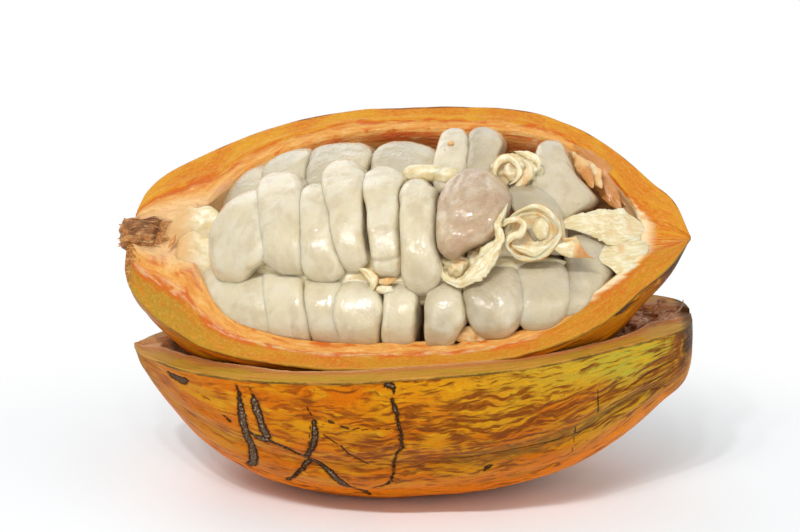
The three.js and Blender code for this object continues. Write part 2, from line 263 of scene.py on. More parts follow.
def new_piece(name, points, faces, finishes, zones=None, fields=None):
    """Puts points (mm, in the part's frame) and faces into a mesh of smooth faces, with
    one finish for each zone and a number for each point in each named field."""
    mesh = bpy.data.meshes.new(name)
    mesh.from_pydata((points * MM).tolist(), [], faces)
    mesh.polygons.foreach_set("use_smooth", np.ones(len(faces), bool))
    for finish in finishes:
        mesh.materials.append(finish)
    if zones is not None:
        mesh.polygons.foreach_set("material_index", np.asarray(zones, np.int32))
    for key, values in (fields or {}).items():
        mesh.attributes.new(key, "FLOAT", "POINT").data.foreach_set(
            "value", np.asarray(values, np.float32).ravel())
    mesh.update()
    piece = bpy.data.objects.new(name, mesh)
    bpy.context.scene.collection.objects.link(piece)
    return piece


def tube_faces(rows, columns, start=0):
    """Quads over a grid whose columns wrap round, and a fan to a pole at each end. The
    poles come after the grid's own points."""
    i, j = np.meshgrid(np.arange(rows - 1), np.arange(columns), indexing="ij")
    a = start + i * columns + j
    b = start + i * columns + (j + 1) % columns
    quads = np.stack([a, b, b + columns, a + columns], -1).reshape(-1, 4).tolist()
    ring = np.arange(columns)
    after = (ring + 1) % columns
    first, last = start + rows * columns, start + rows * columns + 1
    head = np.stack([start + after, start + ring, np.full(columns, first)], -1).tolist()
    end = start + (rows - 1) * columns
    tail = np.stack([end + ring, end + after, np.full(columns, last)], -1).tolist()
    return quads + head + tail


def with_poles(grid):
    """The grid's points in one list, and then the mean of its first and last rows."""
    flat = grid.reshape(-1, grid.shape[-1])
    return np.vstack([flat, grid[0].mean(0), grid[-1].mean(0)])


def outward(points, faces):
    """Turns the faces round if they enclose a negative volume."""
    tri = np.array([face[:3] for face in faces])
    a, b, c = points[tri[:, 0]], points[tri[:, 1]], points[tri[:, 2]]
    middle = points.mean(0)
    if np.einsum("ij,ij->i", a - middle, np.cross(b - middle, c - middle)).sum() < 0:
        return [face[::-1] for face in faces]
    return faces


def carried(path, up, across, thick, columns, flat=2.0):
    """A closed profile carried along a path. At each point of the path the profile is
    |a / across|^flat + |b / thick|^flat = 1, with a square to the path and to up, and b
    square to both. across and thick give its half sizes along the path."""
    ahead = np.gradient(path, axis=0)
    ahead /= np.linalg.norm(ahead, axis=1, keepdims=True)
    side = np.cross(ahead, np.broadcast_to(up, path.shape))
    side /= np.linalg.norm(side, axis=1, keepdims=True)
    rise = np.cross(side, ahead)
    c, s = oval(around(columns), flat)
    a = np.asarray(across)[:, None] * c
    b = np.asarray(thick)[:, None] * s
    return path[:, None] + a[..., None] * side[:, None] + b[..., None] * rise[:, None]


def stand_in(piece, slot, *nodes):
    """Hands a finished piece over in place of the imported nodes."""
    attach(piece, BODY)
    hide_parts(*nodes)


def finish_piece(name, shells, pose, finish, node, slot, fields):
    """Joins closed grids into one piece, placed with its half, that stands for a node."""
    points, faces = [], []
    values = {key: [] for key in fields}
    start = 0
    for k, grid in enumerate(shells):
        rows, columns = grid.shape[:2]
        block = placed(with_poles(grid), pose)
        block_faces = outward(block, tube_faces(rows, columns))
        quads = (rows - 1) * columns
        points.append(block)
        for part in (block_faces[:quads], block_faces[quads:]):
            faces += (np.array(part) + start).tolist()
        for key, grids in fields.items():
            values[key].append(with_poles(grids[k][..., None])[:, 0])
        start += len(block)
    values = {key: np.concatenate(parts) for key, parts in values.items()}
    piece = new_piece(name, np.vstack(points), faces, [finish], fields=values)
    stand_in(piece, slot, node)


# ---------------------------------------------------------------- finishes

def tint(code):
    """A colour written as six hexadecimal digits, as linear red, green, blue and 1."""
    parts = [int(code[k:k + 2], 16) / 255 for k in (0, 2, 4)]
    return tuple(
        p / 12.92 if p <= 0.04045 else ((p + 0.055) / 1.055) ** 2.4 for p in parts
    ) + (1.0,)


class Value:
    """One output of a node. Sums and products of values become Math nodes."""

    def __init__(self, nodes, socket):
        self.nodes, self.socket = nodes, socket

    def math(self, operation, *others, **settings):
        """A Math node on this value and the others."""
        return self.nodes.node("Math", self, *others, operation=operation, **settings)

    def __add__(self, other):
        return self.math("ADD", other)

    def __sub__(self, other):
        return self.math("SUBTRACT", other)

    def __rsub__(self, other):
        return self.nodes.node("Math", other, self, operation="SUBTRACT")

    def __mul__(self, other):
        return self.math("MULTIPLY", other)

    def __abs__(self):
        return self.math("ABSOLUTE")

    __radd__, __rmul__ = __add__, __mul__

    def most(self, other):
        """The greater of the two."""
        return self.math("MAXIMUM", other)

    def step(self, low, high, top=1.0):
        """0 on the far side of low, top beyond high, and smooth between them."""
        return self.nodes.node("MapRange", self, low, high, 0.0, top,
                               interpolation_type="SMOOTHSTEP")


class Nodes:
    """Fills a node tree."""

    def __init__(self, tree):
        self.tree = tree
        tree.nodes.clear()

    def put(self, socket, value):
        """Links a value to a socket, or sets a constant on it."""
        if isinstance(value, Value):
            self.tree.links.new(value.socket, socket)
        else:
            socket.default_value = value

    def node(self, kind, *values, output=0, inputs=None, **settings):
        """A new node with these settings, its first sockets and the named inputs filled."""
        made = self.tree.nodes.new("ShaderNode" + kind)
        for key, value in settings.items():
            setattr(made, key, value)
        for socket, value in zip(made.inputs, values):
            self.put(socket, value)
        for key, value in (inputs or {}).items():
            self.put(made.inputs[key], value)
        return Value(self, made.outputs[output]) if made.outputs else None

    def seen(self):
        """1 for the rays that are to meet plain white: camera, mirror and clear ones."""
        kinds = self.tree.nodes.new("ShaderNodeLightPath").outputs
        camera, mirror, clear = (Value(self, kinds[f"Is {kind} Ray"])
                                 for kind in ("Camera", "Glossy", "Transmission"))
        return camera.most(mirror).most(clear)


class Finish(Nodes):
    """A material with one Principled surface. Its colour is painted in layers, and its
    patterns are sized in millimetres."""

    def __init__(self, name, colour, roughness=0.5, **constants):
        self.material = bpy.data.materials.new(name)
        self.material.use_nodes = True
        super().__init__(self.material.node_tree)
        self.colour = colour
        self.surface = self.tree.nodes.new("ShaderNodeBsdfPrincipled")
        self.output = self.tree.nodes.new("ShaderNodeOutputMaterial")
        self.tree.links.new(self.surface.outputs[0], self.output.inputs["Surface"])
        self.set(Roughness=roughness, **constants)

    def set(self, **values):
        """Fills the surface's inputs by name, with _ for a space."""
        for key, value in values.items():
            self.put(self.surface.inputs[key.replace("_", " ")], value)

    def fields(self, *names):
        """The numbers that the mesh holds at its points under these names."""
        return [self.node("Attribute", attribute_name=name, output=2) for name in names]

    def vector(self, x, y=0.0, z=0.0):
        """Three numbers as one place."""
        return self.node("CombineXYZ", x, y, z)

    def cells_of(self, place, size):
        """The place counted in cells of this size: one number for all the axes, or a
        number for each of the first two or three."""
        size = (*size, 1)[:3] if isinstance(size, tuple) else (size,) * 3
        return self.node("VectorMath", place, tuple(1 / side for side in size),
                         operation="MULTIPLY")

    def place(self):
        """Place on the object in millimetres."""
        return self.cells_of(self.node("TexCoord", output=3), MM)

    def noise(self, place, size, detail=3.0, roughness=0.55, distortion=0.0, shift=None):
        """Cloudy noise from 0 to 1 in cells of this size, moved by a shift in cells."""
        place = self.cells_of(place, size)
        if shift:
            place = self.node("VectorMath", place, shift, operation="ADD")
        return self.node("TexNoise", inputs={
            "Vector": place, "Scale": 1.0, "Detail": detail, "Roughness": roughness,
            "Distortion": distortion})

    def blend(self, share, first, second, mode="MIX"):
        """The first colour with this share of the second laid over it."""
        made = self.tree.nodes.new("ShaderNodeMix")
        made.data_type, made.blend_type = "RGBA", mode
        for k, value in ((0, share), (6, first), (7, second)):
            self.put(made.inputs[k], tint(value) if isinstance(value, str) else value)
        return Value(self, made.outputs[2])

    def paint(self, share, over):
        """Lays a colour over the colour so far, by this share."""
        self.colour = self.blend(share, self.colour, over)

    def tone(self, tone):
        """Lightens and darkens the colour so far."""
        self.colour = self.blend(1.0, self.colour, self.vector(tone, tone, tone), "MULTIPLY")

    def done(self, height, strength, distance, coated=False, **values):
        """The material, with its height as relief, under its wet coat too if coated."""
        bump = self.node("Bump", inputs={
            "Strength": strength, "Distance": distance, "Height": height})
        if coated:
            values["Coat_Normal"] = bump
        self.set(Base_Color=self.colour, Normal=bump, **values)
        return self.material


def skin_finish(name, c, green_from, green_to, rippled=0.85):
    """Waxy skin, drawn in millimetres along the pod and round it. Gold and orange
    patches; fine wavy ripples along the pod, russet towards the tip and dark brown and
    close together below the cut edge towards the stem, where the ground is yellow-green;
    olive furrows; pores; stains at the stem; and corky scars and cracks where the fields
    say."""
    f = Finish(name, c.gold, 0.45, Coat_Weight=0.06, Coat_Roughness=0.16,
               Specular_IOR_Level=0.12)
    along, turn, ridge, furrow, scar, crack = f.fields(
        "along", "turn", "ridge", "furrow", "scar", "crack")
    rise = 90.0 - abs(turn - 90.0)
    p = f.vector(along, turn * DEGREE)
    sway = f.vector(0.0, (f.noise(p, (10, 5), 2) - 0.5) * 5.5)
    q = f.node("VectorMath", p, sway, operation="ADD")
    patches = f.noise(p, (22, 9), 4)
    ripples = f.noise(q, (6, 1.25), 3, 0.5)
    bands = f.noise(q, (15, 2.9), 3, 0.5, shift=(3, 8, 0))
    mottle = f.noise(q, (3.4, 1.6), 4, 0.65, 0.2)
    fine = f.noise(q, (4.5, 0.6), 4, 0.65)
    light = f.noise(q, (9, 1.9), 4, 0.6, shift=(31, 7, 0))
    speckle = f.noise(p, (0.8, 0.7), 3, 0.7)

    # Ground: gold, orange and yellow, green towards the stem, and a brighter orange on the
    # belly that is partly the skin's own colour and partly painted light against the
    # underside's shade.
    place = along + (patches - 0.5) * 60
    stem_side = place.step(green_from - 32, green_from + 12)
    green = place.step(green_from, green_to)
    near_edge = (rise + patches * 30).step(38, 18)
    low = rise.step(38, 56)
    f.paint(patches.step(0.38, 0.6), c.orange)
    f.paint(bands.step(0.5, 0.66, 0.7), c.orange)
    f.paint(light.step(0.52, 0.68, 0.6), c.yellow)
    fresh = f.blend(light.step(0.46, 0.66), c.green, c.yellow)
    fresh = f.blend(along.step(66, 40, 0.35), fresh, c.yellow)
    share = (near_edge * 0.85).math("ADD", along.step(40, 68, 0.5), use_clamp=True)
    f.paint(green * share, fresh)
    # Painted light: the belly is brightened against the shade on the underside.
    f.paint(low * mottle.step(0.2, 0.55, 0.85), c.belly)

    # Ripples, pores and furrows.
    belt = (rise - along.step(10, 50, 6)).step(3, 12) * rise.step(46, 33)
    push = belt * stem_side * 0.095 + low * -0.035
    push = push - green * near_edge * along.step(34, 62, 0.075)
    dip = ripples + push - ridge * 0.05 + (bands - 0.5) * 0.42 + (fine - 0.5) * 0.26
    f.paint(dip.step(0.49, 0.67, rippled), f.blend(stem_side, c.russet, c.brown))
    f.paint(dip.step(0.62, 0.72) * (rippled - 0.05), c.brown)
    f.paint(fine.step(0.5, 0.72, 0.5), c.orange)
    f.tone(0.76 + speckle * 0.46)
    pores = f.node("TexVoronoi", inputs={"Vector": f.cells_of(p, (3, 2)), "Scale": 1.0})
    pores = pores.step(0.13, 0.05) * mottle.step(0.5, 0.6)
    f.paint(pores * 0.75, c.crack)
    dull = furrow.step(0.4, 1.2) * along.step(2, 30)
    f.paint(dull * fine.step(0.34, 0.6, rippled - 0.1), c.olive)

    # Both ends, where lines along the pod would run together, and the stem's stains.
    xyz = f.place()
    blot = f.noise(xyz, (5, 4, 4), 4, 0.65)
    fleck = f.noise(xyz, (1.1, 0.9, 0.9), 3, 0.7)
    tip = f.blend(blot.step(0.4, 0.6, 0.8), c.gold, c.russet)
    tip = f.blend(fleck.step(0.5, 0.7, 0.6), tip, c.brown)
    f.paint((abs(along) + blot * 12).step(76, 86, 0.9), tip)
    stain = (along + (ripples - 0.5) * 30).step(67, 77) * rise.step(52, 30)
    f.paint(stain * blot.step(0.38, 0.54) * 0.85, c.brown)
    scorch = (along + (blot - 0.5) * 5).step(76.5, 79.5) * rise.step(46, 24, 0.85)
    f.paint(scorch, c.crack)

    # Cracks and corky scars.
    f.paint((crack + speckle * 0.6).step(0.2, 0.36) * 0.9, c.crack)
    jag = f.noise(p, (1.5, 1.3), 3, 0.7)
    bits = f.noise(p, (0.62, 0.7), 2, 0.6)
    ragged = scar + speckle * 1.1 + (jag - 0.85) * 1.7
    cork, middle = ragged.step(-0.02, 0.14), ragged.step(0.3, 0.9)
    bark = f.blend(middle * 0.55, c.scar, c.cork)
    glint = bits.step(0.53, 0.64, 0.85) * along.step(-60, -56)
    bark = f.blend(middle * glint, bark, c.silver)
    bark = f.blend(bits.step(0.44, 0.36, 0.8), bark, c.scar)
    f.paint(ragged.step(-0.6, 0.1, 0.5), c.brown)
    f.paint(cork, bark)
    height = fine * 0.5 + speckle * 0.3 - dip.step(0.5, 0.66) * 0.7 - pores * 0.5
    return f.done(height + cork * (bits * 3.0), 0.7, 0.0006, coated=True,
                  Roughness=0.28 + fine * 0.3 + cork * 0.3, Specular_Tint=tint("FFB860"))


def flesh_finish(name, c):
    """The fresh cut face: a thin green edge, a smooth golden rind, orange-red patches, a
    pale fibrous line and moist salmon flesh with lengthwise fibres inside it. Round the
    stem it is browned and torn, and next to the pulp at both ends it turns cream."""
    f = Finish(name, c.rind, 0.42, Coat_Weight=0.12, Coat_Roughness=0.22,
               Specular_IOR_Level=0.25, Subsurface_Weight=0.2, Subsurface_Scale=0.002)
    along, share, turn, inset, torn = f.fields("along", "share", "turn", "inset", "torn")
    p, xyz = f.vector(along, share * 10.0, turn * 0.3), f.place()
    slow = f.noise(p, (12, 5, 5), 3)
    fibre = f.noise(p, (5.5, 0.8, 5), 5, 0.65, 0.4)
    patch = f.noise(p, (7, 2.4, 5), 4, 0.6, 0.5, shift=(9, 4, 2))
    fine = f.noise(p, (1.2, 0.5, 5), 3, 0.7)
    grit = f.noise(xyz, 0.9, 3, 0.7)
    threads = f.noise(xyz, (9, 1.6, 1.6), 3, 0.5, 0.3)
    far, near_side = turn.step(60, 120), turn.step(90, 60)

    # The rind.
    f.paint(slow.step(0.35, 0.65), c.rind_warm)
    # Painted shade: the rind is darkened along the near side, which faces the lamps.
    f.paint(turn.step(90, 60, 0.7), c.rind_near_painted_shade)
    veined = abs(fibre - 0.5).step(0.035, 0.01)
    f.paint(veined * slow.step(0.44, 0.56, 0.8), c.flesh_red)
    stem_half = along.step(-25, -62) * near_side
    f.paint(stem_half * patch.step(0.34, 0.56, 0.7), c.rind_green)
    f.paint(patch.step(0.5, 0.7, 0.5), c.rind_warm)
    f.paint(fine.step(0.5, 0.75, 0.1), c.flesh_line)
    f.paint(grit.step(0.5, 0.7, 0.5), c.flesh_deep)

    # The salmon flesh, and what lies along the border between the two.
    place = share + (slow - 0.5) * 0.3 + (fibre - 0.5) * 0.12 - far * 0.12
    place = place - along.step(40, 70, 0.5)
    inner = place.step(0.42, 0.56)
    salmon = f.blend(fibre.step(0.36, 0.62), c.flesh_deep, c.flesh)
    salmon = f.blend(patch.step(0.5, 0.7, 0.75), salmon, c.flesh_pale)
    salmon = f.blend(fine.step(0.62, 0.8, 0.5), salmon, c.flesh_line)
    f.paint(inner, salmon)
    band = place.step(0.34, 0.46) * place.step(0.64, 0.5)
    blotch = patch + along.step(-20, -45, 0.09) * near_side
    f.paint(band * blotch.step(0.42, 0.6, 0.85), c.flesh_red)
    pale = place.step(0.44, 0.48) * place.step(0.60, 0.54)
    pale = pale * fibre.step(0.38, 0.62, 0.4) * patch.step(0.62, 0.5)
    f.paint(pale * turn.step(90, 30) * along.step(62, 40, 0.8), c.flesh_line)
    f.paint(place.step(0.58, 0.8) * patch.step(0.48, 0.34) * 0.85, c.flesh_red)
    f.paint(fibre.step(0.6, 0.68) * patch.step(0.42, 0.55) * 0.5, c.flesh_red)

    # The skin's edge.
    f.paint((inset + (patch - 0.5) * 2.4).step(0.9, 0.1, 0.7), c.rind_edge)
    edge = inset + (fibre - 0.5) * 1.6 - far * slow.step(0.42, 0.62, 0.8)
    f.paint(edge.step(0.34, 0.05) * slow.step(0.3, 0.6, 0.85), c.torn_brown)

    # Cream next to the pulp at both ends, and torn, browned flesh round the stem.
    ends = along + (patch - 0.5) * 16
    within = inset + (threads - 0.5) * 4 - far * 3.5
    tip_end = ends.step(46, 60) * along.step(75, 70)
    dots = within.step(7.6, 8.6) * within.step(10.4, 9.4) * tip_end
    f.paint(dots * fine.step(0.42, 0.56, 0.8), c.flesh_red)
    blind = ends.step(-50, -60) * share.step(0.7, 1.0)
    cream = (tip_end * within.step(9.5, 12.5)).most(blind * 0.5)
    f.paint(cream * 0.92, f.blend(threads.step(0.3, 0.5, 0.8), c.flesh_cream, c.flesh_line))
    spot = ends.step(-75.5, -78) * turn.step(90, 30)
    torn = (torn + (patch - 0.5) * 7).step(0, 3).most(spot)
    browned = f.blend(grit.step(0.36, 0.6), c.torn_brown, c.torn_tan)
    browned = f.blend(threads.step(0.5, 0.66, 0.7), browned, c.flesh_pale)
    f.paint(torn * fine.step(0.15, 0.5, 0.9), browned)
    f.tone(0.8 + fine * 0.4)
    height = (fibre + fine * 0.6) * (0.25 + inner) + torn * (grit * 3.0)
    return f.done(height, 0.6, 0.0006, Roughness=0.32 + fine * 0.3,
                  Subsurface_Radius=(1.0, 0.5, 0.2), Specular_Tint=tint("FFCC88"))


def wall_finish(name, deep, middle, pale):
    """The torn inner wall: reddish flesh with pale fibres that run along the pod."""
    f = Finish(name, deep, 0.5, Coat_Weight=0.12, Coat_Roughness=0.25,
               Specular_IOR_Level=0.25)
    along, turn = f.fields("along", "turn")
    p = f.vector(along, turn * 0.65)
    fibre = f.noise(p, (7, 1.3), 5, 0.65, 0.8)
    patch = f.noise(p, (9, 6), 3)
    fine = f.noise(p, (0.9, 0.6), 3, 0.7)
    f.paint(patch.step(0.35, 0.65), middle)
    f.paint(fibre.step(0.52, 0.7, 0.8), pale)
    f.paint(fine.step(0.35, 0.2, 0.5), deep)
    f.paint((abs(along) + (patch - 0.5) * 24).step(32, 50, 0.8), pale)
    f.paint(fibre.step(0.6, 0.7) * 0.45, deep)
    return f.done(fibre + fine * 0.5, 0.8, 0.0009, Specular_Tint=tint("FFE0B8"))


def dried_rim_finish(name, c):
    """The emptied half's cut face, browned in the air: a thin broken dark line at the
    skin, a tan and olive band, brown lines, and a raw pinkish crest inside them."""
    f = Finish(name, c.rim_tan, 0.55, Coat_Weight=0.05, Coat_Roughness=0.3,
               Specular_IOR_Level=0.25)
    along, share, inset, turn, torn = f.fields("along", "share", "inset", "turn", "torn")
    p = f.vector(along, inset, turn * 0.1)
    slow = f.noise(p, (14, 5), 3)
    fibre = f.noise(p, (9, 0.8), 5, 0.65, 0.4)
    fine = f.noise(p, (1.1, 0.5), 3, 0.7)
    place = share + (fibre - 0.5) * 0.25
    f.paint(slow.step(0.38, 0.62), c.rim_olive)
    f.paint(fibre.step(0.52, 0.68, 0.7), c.rim_brown)
    f.paint(place.step(0.55, 0.72, 0.9), c.rim_pink)
    f.paint(place.step(0.76, 0.88) * fine.step(0.25, 0.5) * 0.85, c.rim_raw)
    f.paint(fibre.step(0.62, 0.7) * slow.step(0.45, 0.6) * 0.7, c.crack)
    f.paint((torn + (fibre - 0.5) * 12).step(0, 4) * 0.4, c.rim_brown)
    f.paint((along + (fibre - 0.5) * 6).step(77.5, 80, 0.8), c.crack)
    line = (inset + fine * 0.6).step(0.62, 0.4)
    f.paint(line * slow.step(0.35, 0.55, 0.75), c.crack)
    f.tone(0.86 + fine * 0.28)
    return f.done(fibre + fine * 0.6, 0.7, 0.0006, Specular_Tint=tint("FFD9A0"))


def pulp_finish(name, c):
    """Wet white pulp: faintly translucent, beige where it is thick, grey at its edges as painted
    shade and white along its crests as a painted highlight, with a thin uneven film that
    breaks up the highlights."""
    f = Finish(name, c.pulp, 0.42, Coat_Weight=1.0, Coat_Roughness=0.05, Coat_IOR=1.42,
               Specular_IOR_Level=0.3, Subsurface_Weight=0.5, Subsurface_Scale=0.004)
    blush, shade, ridge = f.fields("blush", "shade", "ridge")
    p = f.place()
    slow = f.noise(p, 9, 2)
    cloud = f.noise(p, (4, 4.5, 7), 3, 0.5, 0.3)
    fine = f.noise(p, (0.7, 0.8, 1.6), 3, 0.6)
    film = f.noise(p, 3.4, 2, 0.5)
    beads = f.noise(p, (0.95, 0.95, 1.2), 1, 0.5, 0.6)
    veins = f.noise(p, 2.4, 4, 0.7, 1.2, shift=(5, 5, 5))
    f.paint(slow.step(0.35, 0.65), c.pulp_warm)
    f.paint(cloud.step(0.44, 0.7, 0.62), c.pulp_beige)
    f.paint(blush * (0.55 + cloud * 0.7), c.pulp_blush)
    f.paint(abs(veins - 0.5).step(0.05, 0.0) * blush * 0.5, c.pulp_vein)
    # Painted shade: grey where the shade field says.
    f.paint(shade * 0.9, c.pulp_painted_shade)
    # Painted highlight: white along the crests, where the ridge field says.
    f.paint(ridge * 0.7, c.pulp_painted_light)
    f.tone(0.97 + fine * 0.06)
    return f.done(film * 1.2 + beads * 0.8, 0.32, 0.0008, coated=True,
                  Roughness=0.3 + cloud * 0.25, Subsurface_Radius=(1.0, 0.72, 0.4))


def membrane_finish(name, c):
    """Placenta and torn membranes: cream, fibrous along each strand and moist, browned
    orange where the field says."""
    f = Finish(name, c.cream, 0.42, Coat_Weight=0.5, Coat_Roughness=0.12,
               Specular_IOR_Level=0.3, Subsurface_Weight=0.35, Subsurface_Scale=0.003)
    along, across, rust = f.fields("along", "across", "rust")
    p = f.place()
    fibre = f.noise(f.vector(along, across), (4, 1), 4, 0.55, 0.4)
    patch = f.noise(p, 4, 3, 0.6)
    fine = f.noise(p, 0.6, 3, 0.7)
    f.paint(patch.step(0.35, 0.65), c.cream_yellow)
    f.paint(fibre.step(0.42, 0.66, 0.8), c.cream_pale)
    rust = rust + (fibre - 0.5) * 0.5
    f.paint(rust.step(0.25, 0.7, 0.85), c.amber)
    f.paint(rust.step(0.75, 1.15, 0.85), c.rust)
    f.paint(fine.step(0.6, 0.8, 0.3), c.amber)
    return f.done(fibre * 1.4 + fine * 0.4, 0.35, 0.0006, coated=True,
                  Subsurface_Radius=(1.0, 0.7, 0.4))


def bark_finish(name, dark, middle, pale):
    """Stalk and dry torn fibres: strands that run along the piece, dark in the hollows as
    painted shade, and some single fibres of a darker tone.
    """
    f = Finish(name, dark, 0.8)
    along, turn, hollow = f.fields("along", "turn", "hollow")
    strand = f.noise(f.vector(along, turn * 0.1), (3.5, 0.9), 5, 0.7, 0.5)
    patch = f.noise(f.place(), 2.4, 3)
    fine = f.noise(f.place(), 0.5, 3, 0.7)
    f.paint(patch.step(0.35, 0.65), middle)
    f.paint(strand.step(0.5, 0.68, 0.85), pale)
    # Painted shade in the hollows, and the darker tone of single fibres.
    f.paint(hollow * 0.8, dark)
    f.paint(fine.step(0.4, 0.2, 0.6), dark)
    return f.done(strand + fine * 0.6, 0.9, 0.0008)


# ---------------------------------------------------------------- user settings

def shade_property(name, code, about):
    """A colour that the user writes as six hexadecimal digits."""
    return bpy.props.StringProperty(name=name, description=about, default=code, maxlen=6)


class PodSkinSettings(bpy.types.PropertyGroup):
    gold: shade_property("Gold", "D08A0C", "Ground colour of the ripe skin")
    orange: shade_property("Orange", "CC6A04", "Warm patches of the skin")
    # Partly the skin's own colour, partly painted light on the shaded underside
    belly: shade_property("Belly", "F88400", "Warm underside of the skin")
    yellow: shade_property("Yellow", "D8A51C", "Light streaks of the skin")
    green: shade_property("Green", "B6A634", "Skin that is not quite ripe")
    russet: shade_property("Russet", "A24E06", "Ripples towards the tip")
    brown: shade_property("Brown", "7A3A0A", "Ripples towards the stem")
    olive: shade_property("Olive", "8C6C2C", "Skin down in the furrows")
    crack: shade_property("Crack", "3A2410", "Cracks and pores")
    scar: shade_property("Scar", "38210F", "Edges of the corky scars")
    cork: shade_property("Cork", "7C6048", "Middle of the corky scars")
    silver: shade_property("Silver", "B0A08C", "Glinting specks in the scars")
    relief: bpy.props.FloatProperty(
        name="Relief", description="Height of the low lengthwise swellings of the skin",
        default=0.00035, min=0, max=0.002, precision=5, unit="LENGTH")


class PodFleshSettings(bpy.types.PropertyGroup):
    rind: shade_property("Rind", "D49626", "Smooth golden outer part of the cut face")
    rind_warm: shade_property("Warm rind", "CE8420", "Warmer patches of the outer part")
    # Painted shade on the rind along the near side
    rind_near_painted_shade: shade_property("Near rind", "B87A1A", "Outer part along the near side")
    rind_green: shade_property("Green rind", "9C8422", "Greener outer part towards the stem")
    rind_edge: shade_property("Edge", "B48A20", "Thin line of the skin's edge")
    flesh: shade_property("Flesh", "E6AA5A", "Inner, salmon part of the cut face")
    flesh_deep: shade_property("Deep flesh", "DC9040", "Darker fibres of the inner part")
    flesh_pale: shade_property("Pale flesh", "ECBC78", "Paler patches of the inner part")
    flesh_red: shade_property("Red flesh", "CC5A14", "Orange-red patches between the parts")
    flesh_line: shade_property("Fibre line", "F4E2BA", "Pale fibres")
    flesh_cream: shade_property("Cream flesh", "F0D09A", "Flesh next to the pulp at the ends")
    torn_brown: shade_property("Torn brown", "7C4420", "Browned flesh round the stem")
    torn_tan: shade_property("Torn tan", "C48448", "Paler torn flesh round the stem")
    rim_tan: shade_property("Dried tan", "C88E38", "Dried cut face of the emptied half")
    rim_olive: shade_property("Dried olive", "B88E2C", "Dried cut face, greener parts")
    rim_brown: shade_property("Dried brown", "9A5F26", "Dried cut face, darker fibres")
    rim_pink: shade_property("Raw pink", "B8743E", "Inner side of the dried cut face")
    rim_raw: shade_property("Raw crest", "E2B080", "Raw crest along the dried cut face")
    crack: shade_property("Line", "3A2410", "Dark line along the skin's edge")
    edge_round: bpy.props.FloatProperty(
        name="Edge rounding", description="Rounding where the cut face meets the skin",
        default=0.0008, min=0.0002, max=0.002, precision=4, unit="LENGTH")


class PodPulpSettings(bpy.types.PropertyGroup):
    pulp: shade_property("Pulp", "DACFB4", "Ground colour of the pulp")
    pulp_warm: shade_property("Warm pulp", "D5C7A4", "Slightly warmer pulp")
    pulp_beige: shade_property("Beige", "C2AF8B", "Cloudy beige patches")
    pulp_blush: shade_property("Blush", "B0906E", "The pinkish bean")
    pulp_vein: shade_property("Vein", "A5795E", "Fine veins of the pinkish bean")
    # Painted shade, laid on the pulp as grey
    pulp_painted_shade: shade_property("Grey", "9E9175", "Thin pulp at turned-away edges")
    # Painted highlight, laid on the pulp's crests as white
    pulp_painted_light: shade_property("White", "E5DABF", "White ridges")
    cream: shade_property("Cream", "E2D2A6", "Placenta")
    cream_yellow: shade_property("Yellow cream", "D8C08A", "Yellower placenta")
    cream_pale: shade_property("Pale cream", "F0E7CC", "Pale fibres of the placenta")
    amber: shade_property("Amber", "DDAA66", "Thin, yellowed membranes")
    rust: shade_property("Rust", "C27A30", "Browned edges of the placenta")
    swell: bpy.props.FloatProperty(
        name="Swell", description="Height of the uneven swelling of each bean's pulp",
        default=0.0005, min=0, max=0.002, precision=4, unit="LENGTH")


class PodStageSettings(bpy.types.PropertyGroup):
    elevation: bpy.props.FloatProperty(
        name="Elevation", description="Height of the view above the horizon",
        default=math.radians(16.8), unit="ROTATION")
    distance: bpy.props.FloatProperty(
        name="Distance", description="Distance from the camera to the pod",
        default=0.548, min=0.2, unit="LENGTH")
    lens: bpy.props.FloatProperty(
        name="Focal length", description="Focal length of the camera in millimetres",
        default=85.0, min=10)
    key: bpy.props.FloatProperty(
        name="Main light", description="Power of the main light in watts", default=4.9,
        min=0)
    fill: bpy.props.FloatProperty(
        name="Fill light", description="Power of the fill light in watts", default=1.2,
        min=0)
    sky: bpy.props.FloatProperty(
        name="Surrounding light", description="Strength of the even surrounding light",
        default=0.45, min=0)
    floor: bpy.props.FloatVectorProperty(
        name="Floor", description="Colour of the pale floor", subtype="COLOR",
        default=(0.90, 0.94, 0.96), size=3, min=0, max=1)


# ---------------------------------------------------------------- husk surfaces

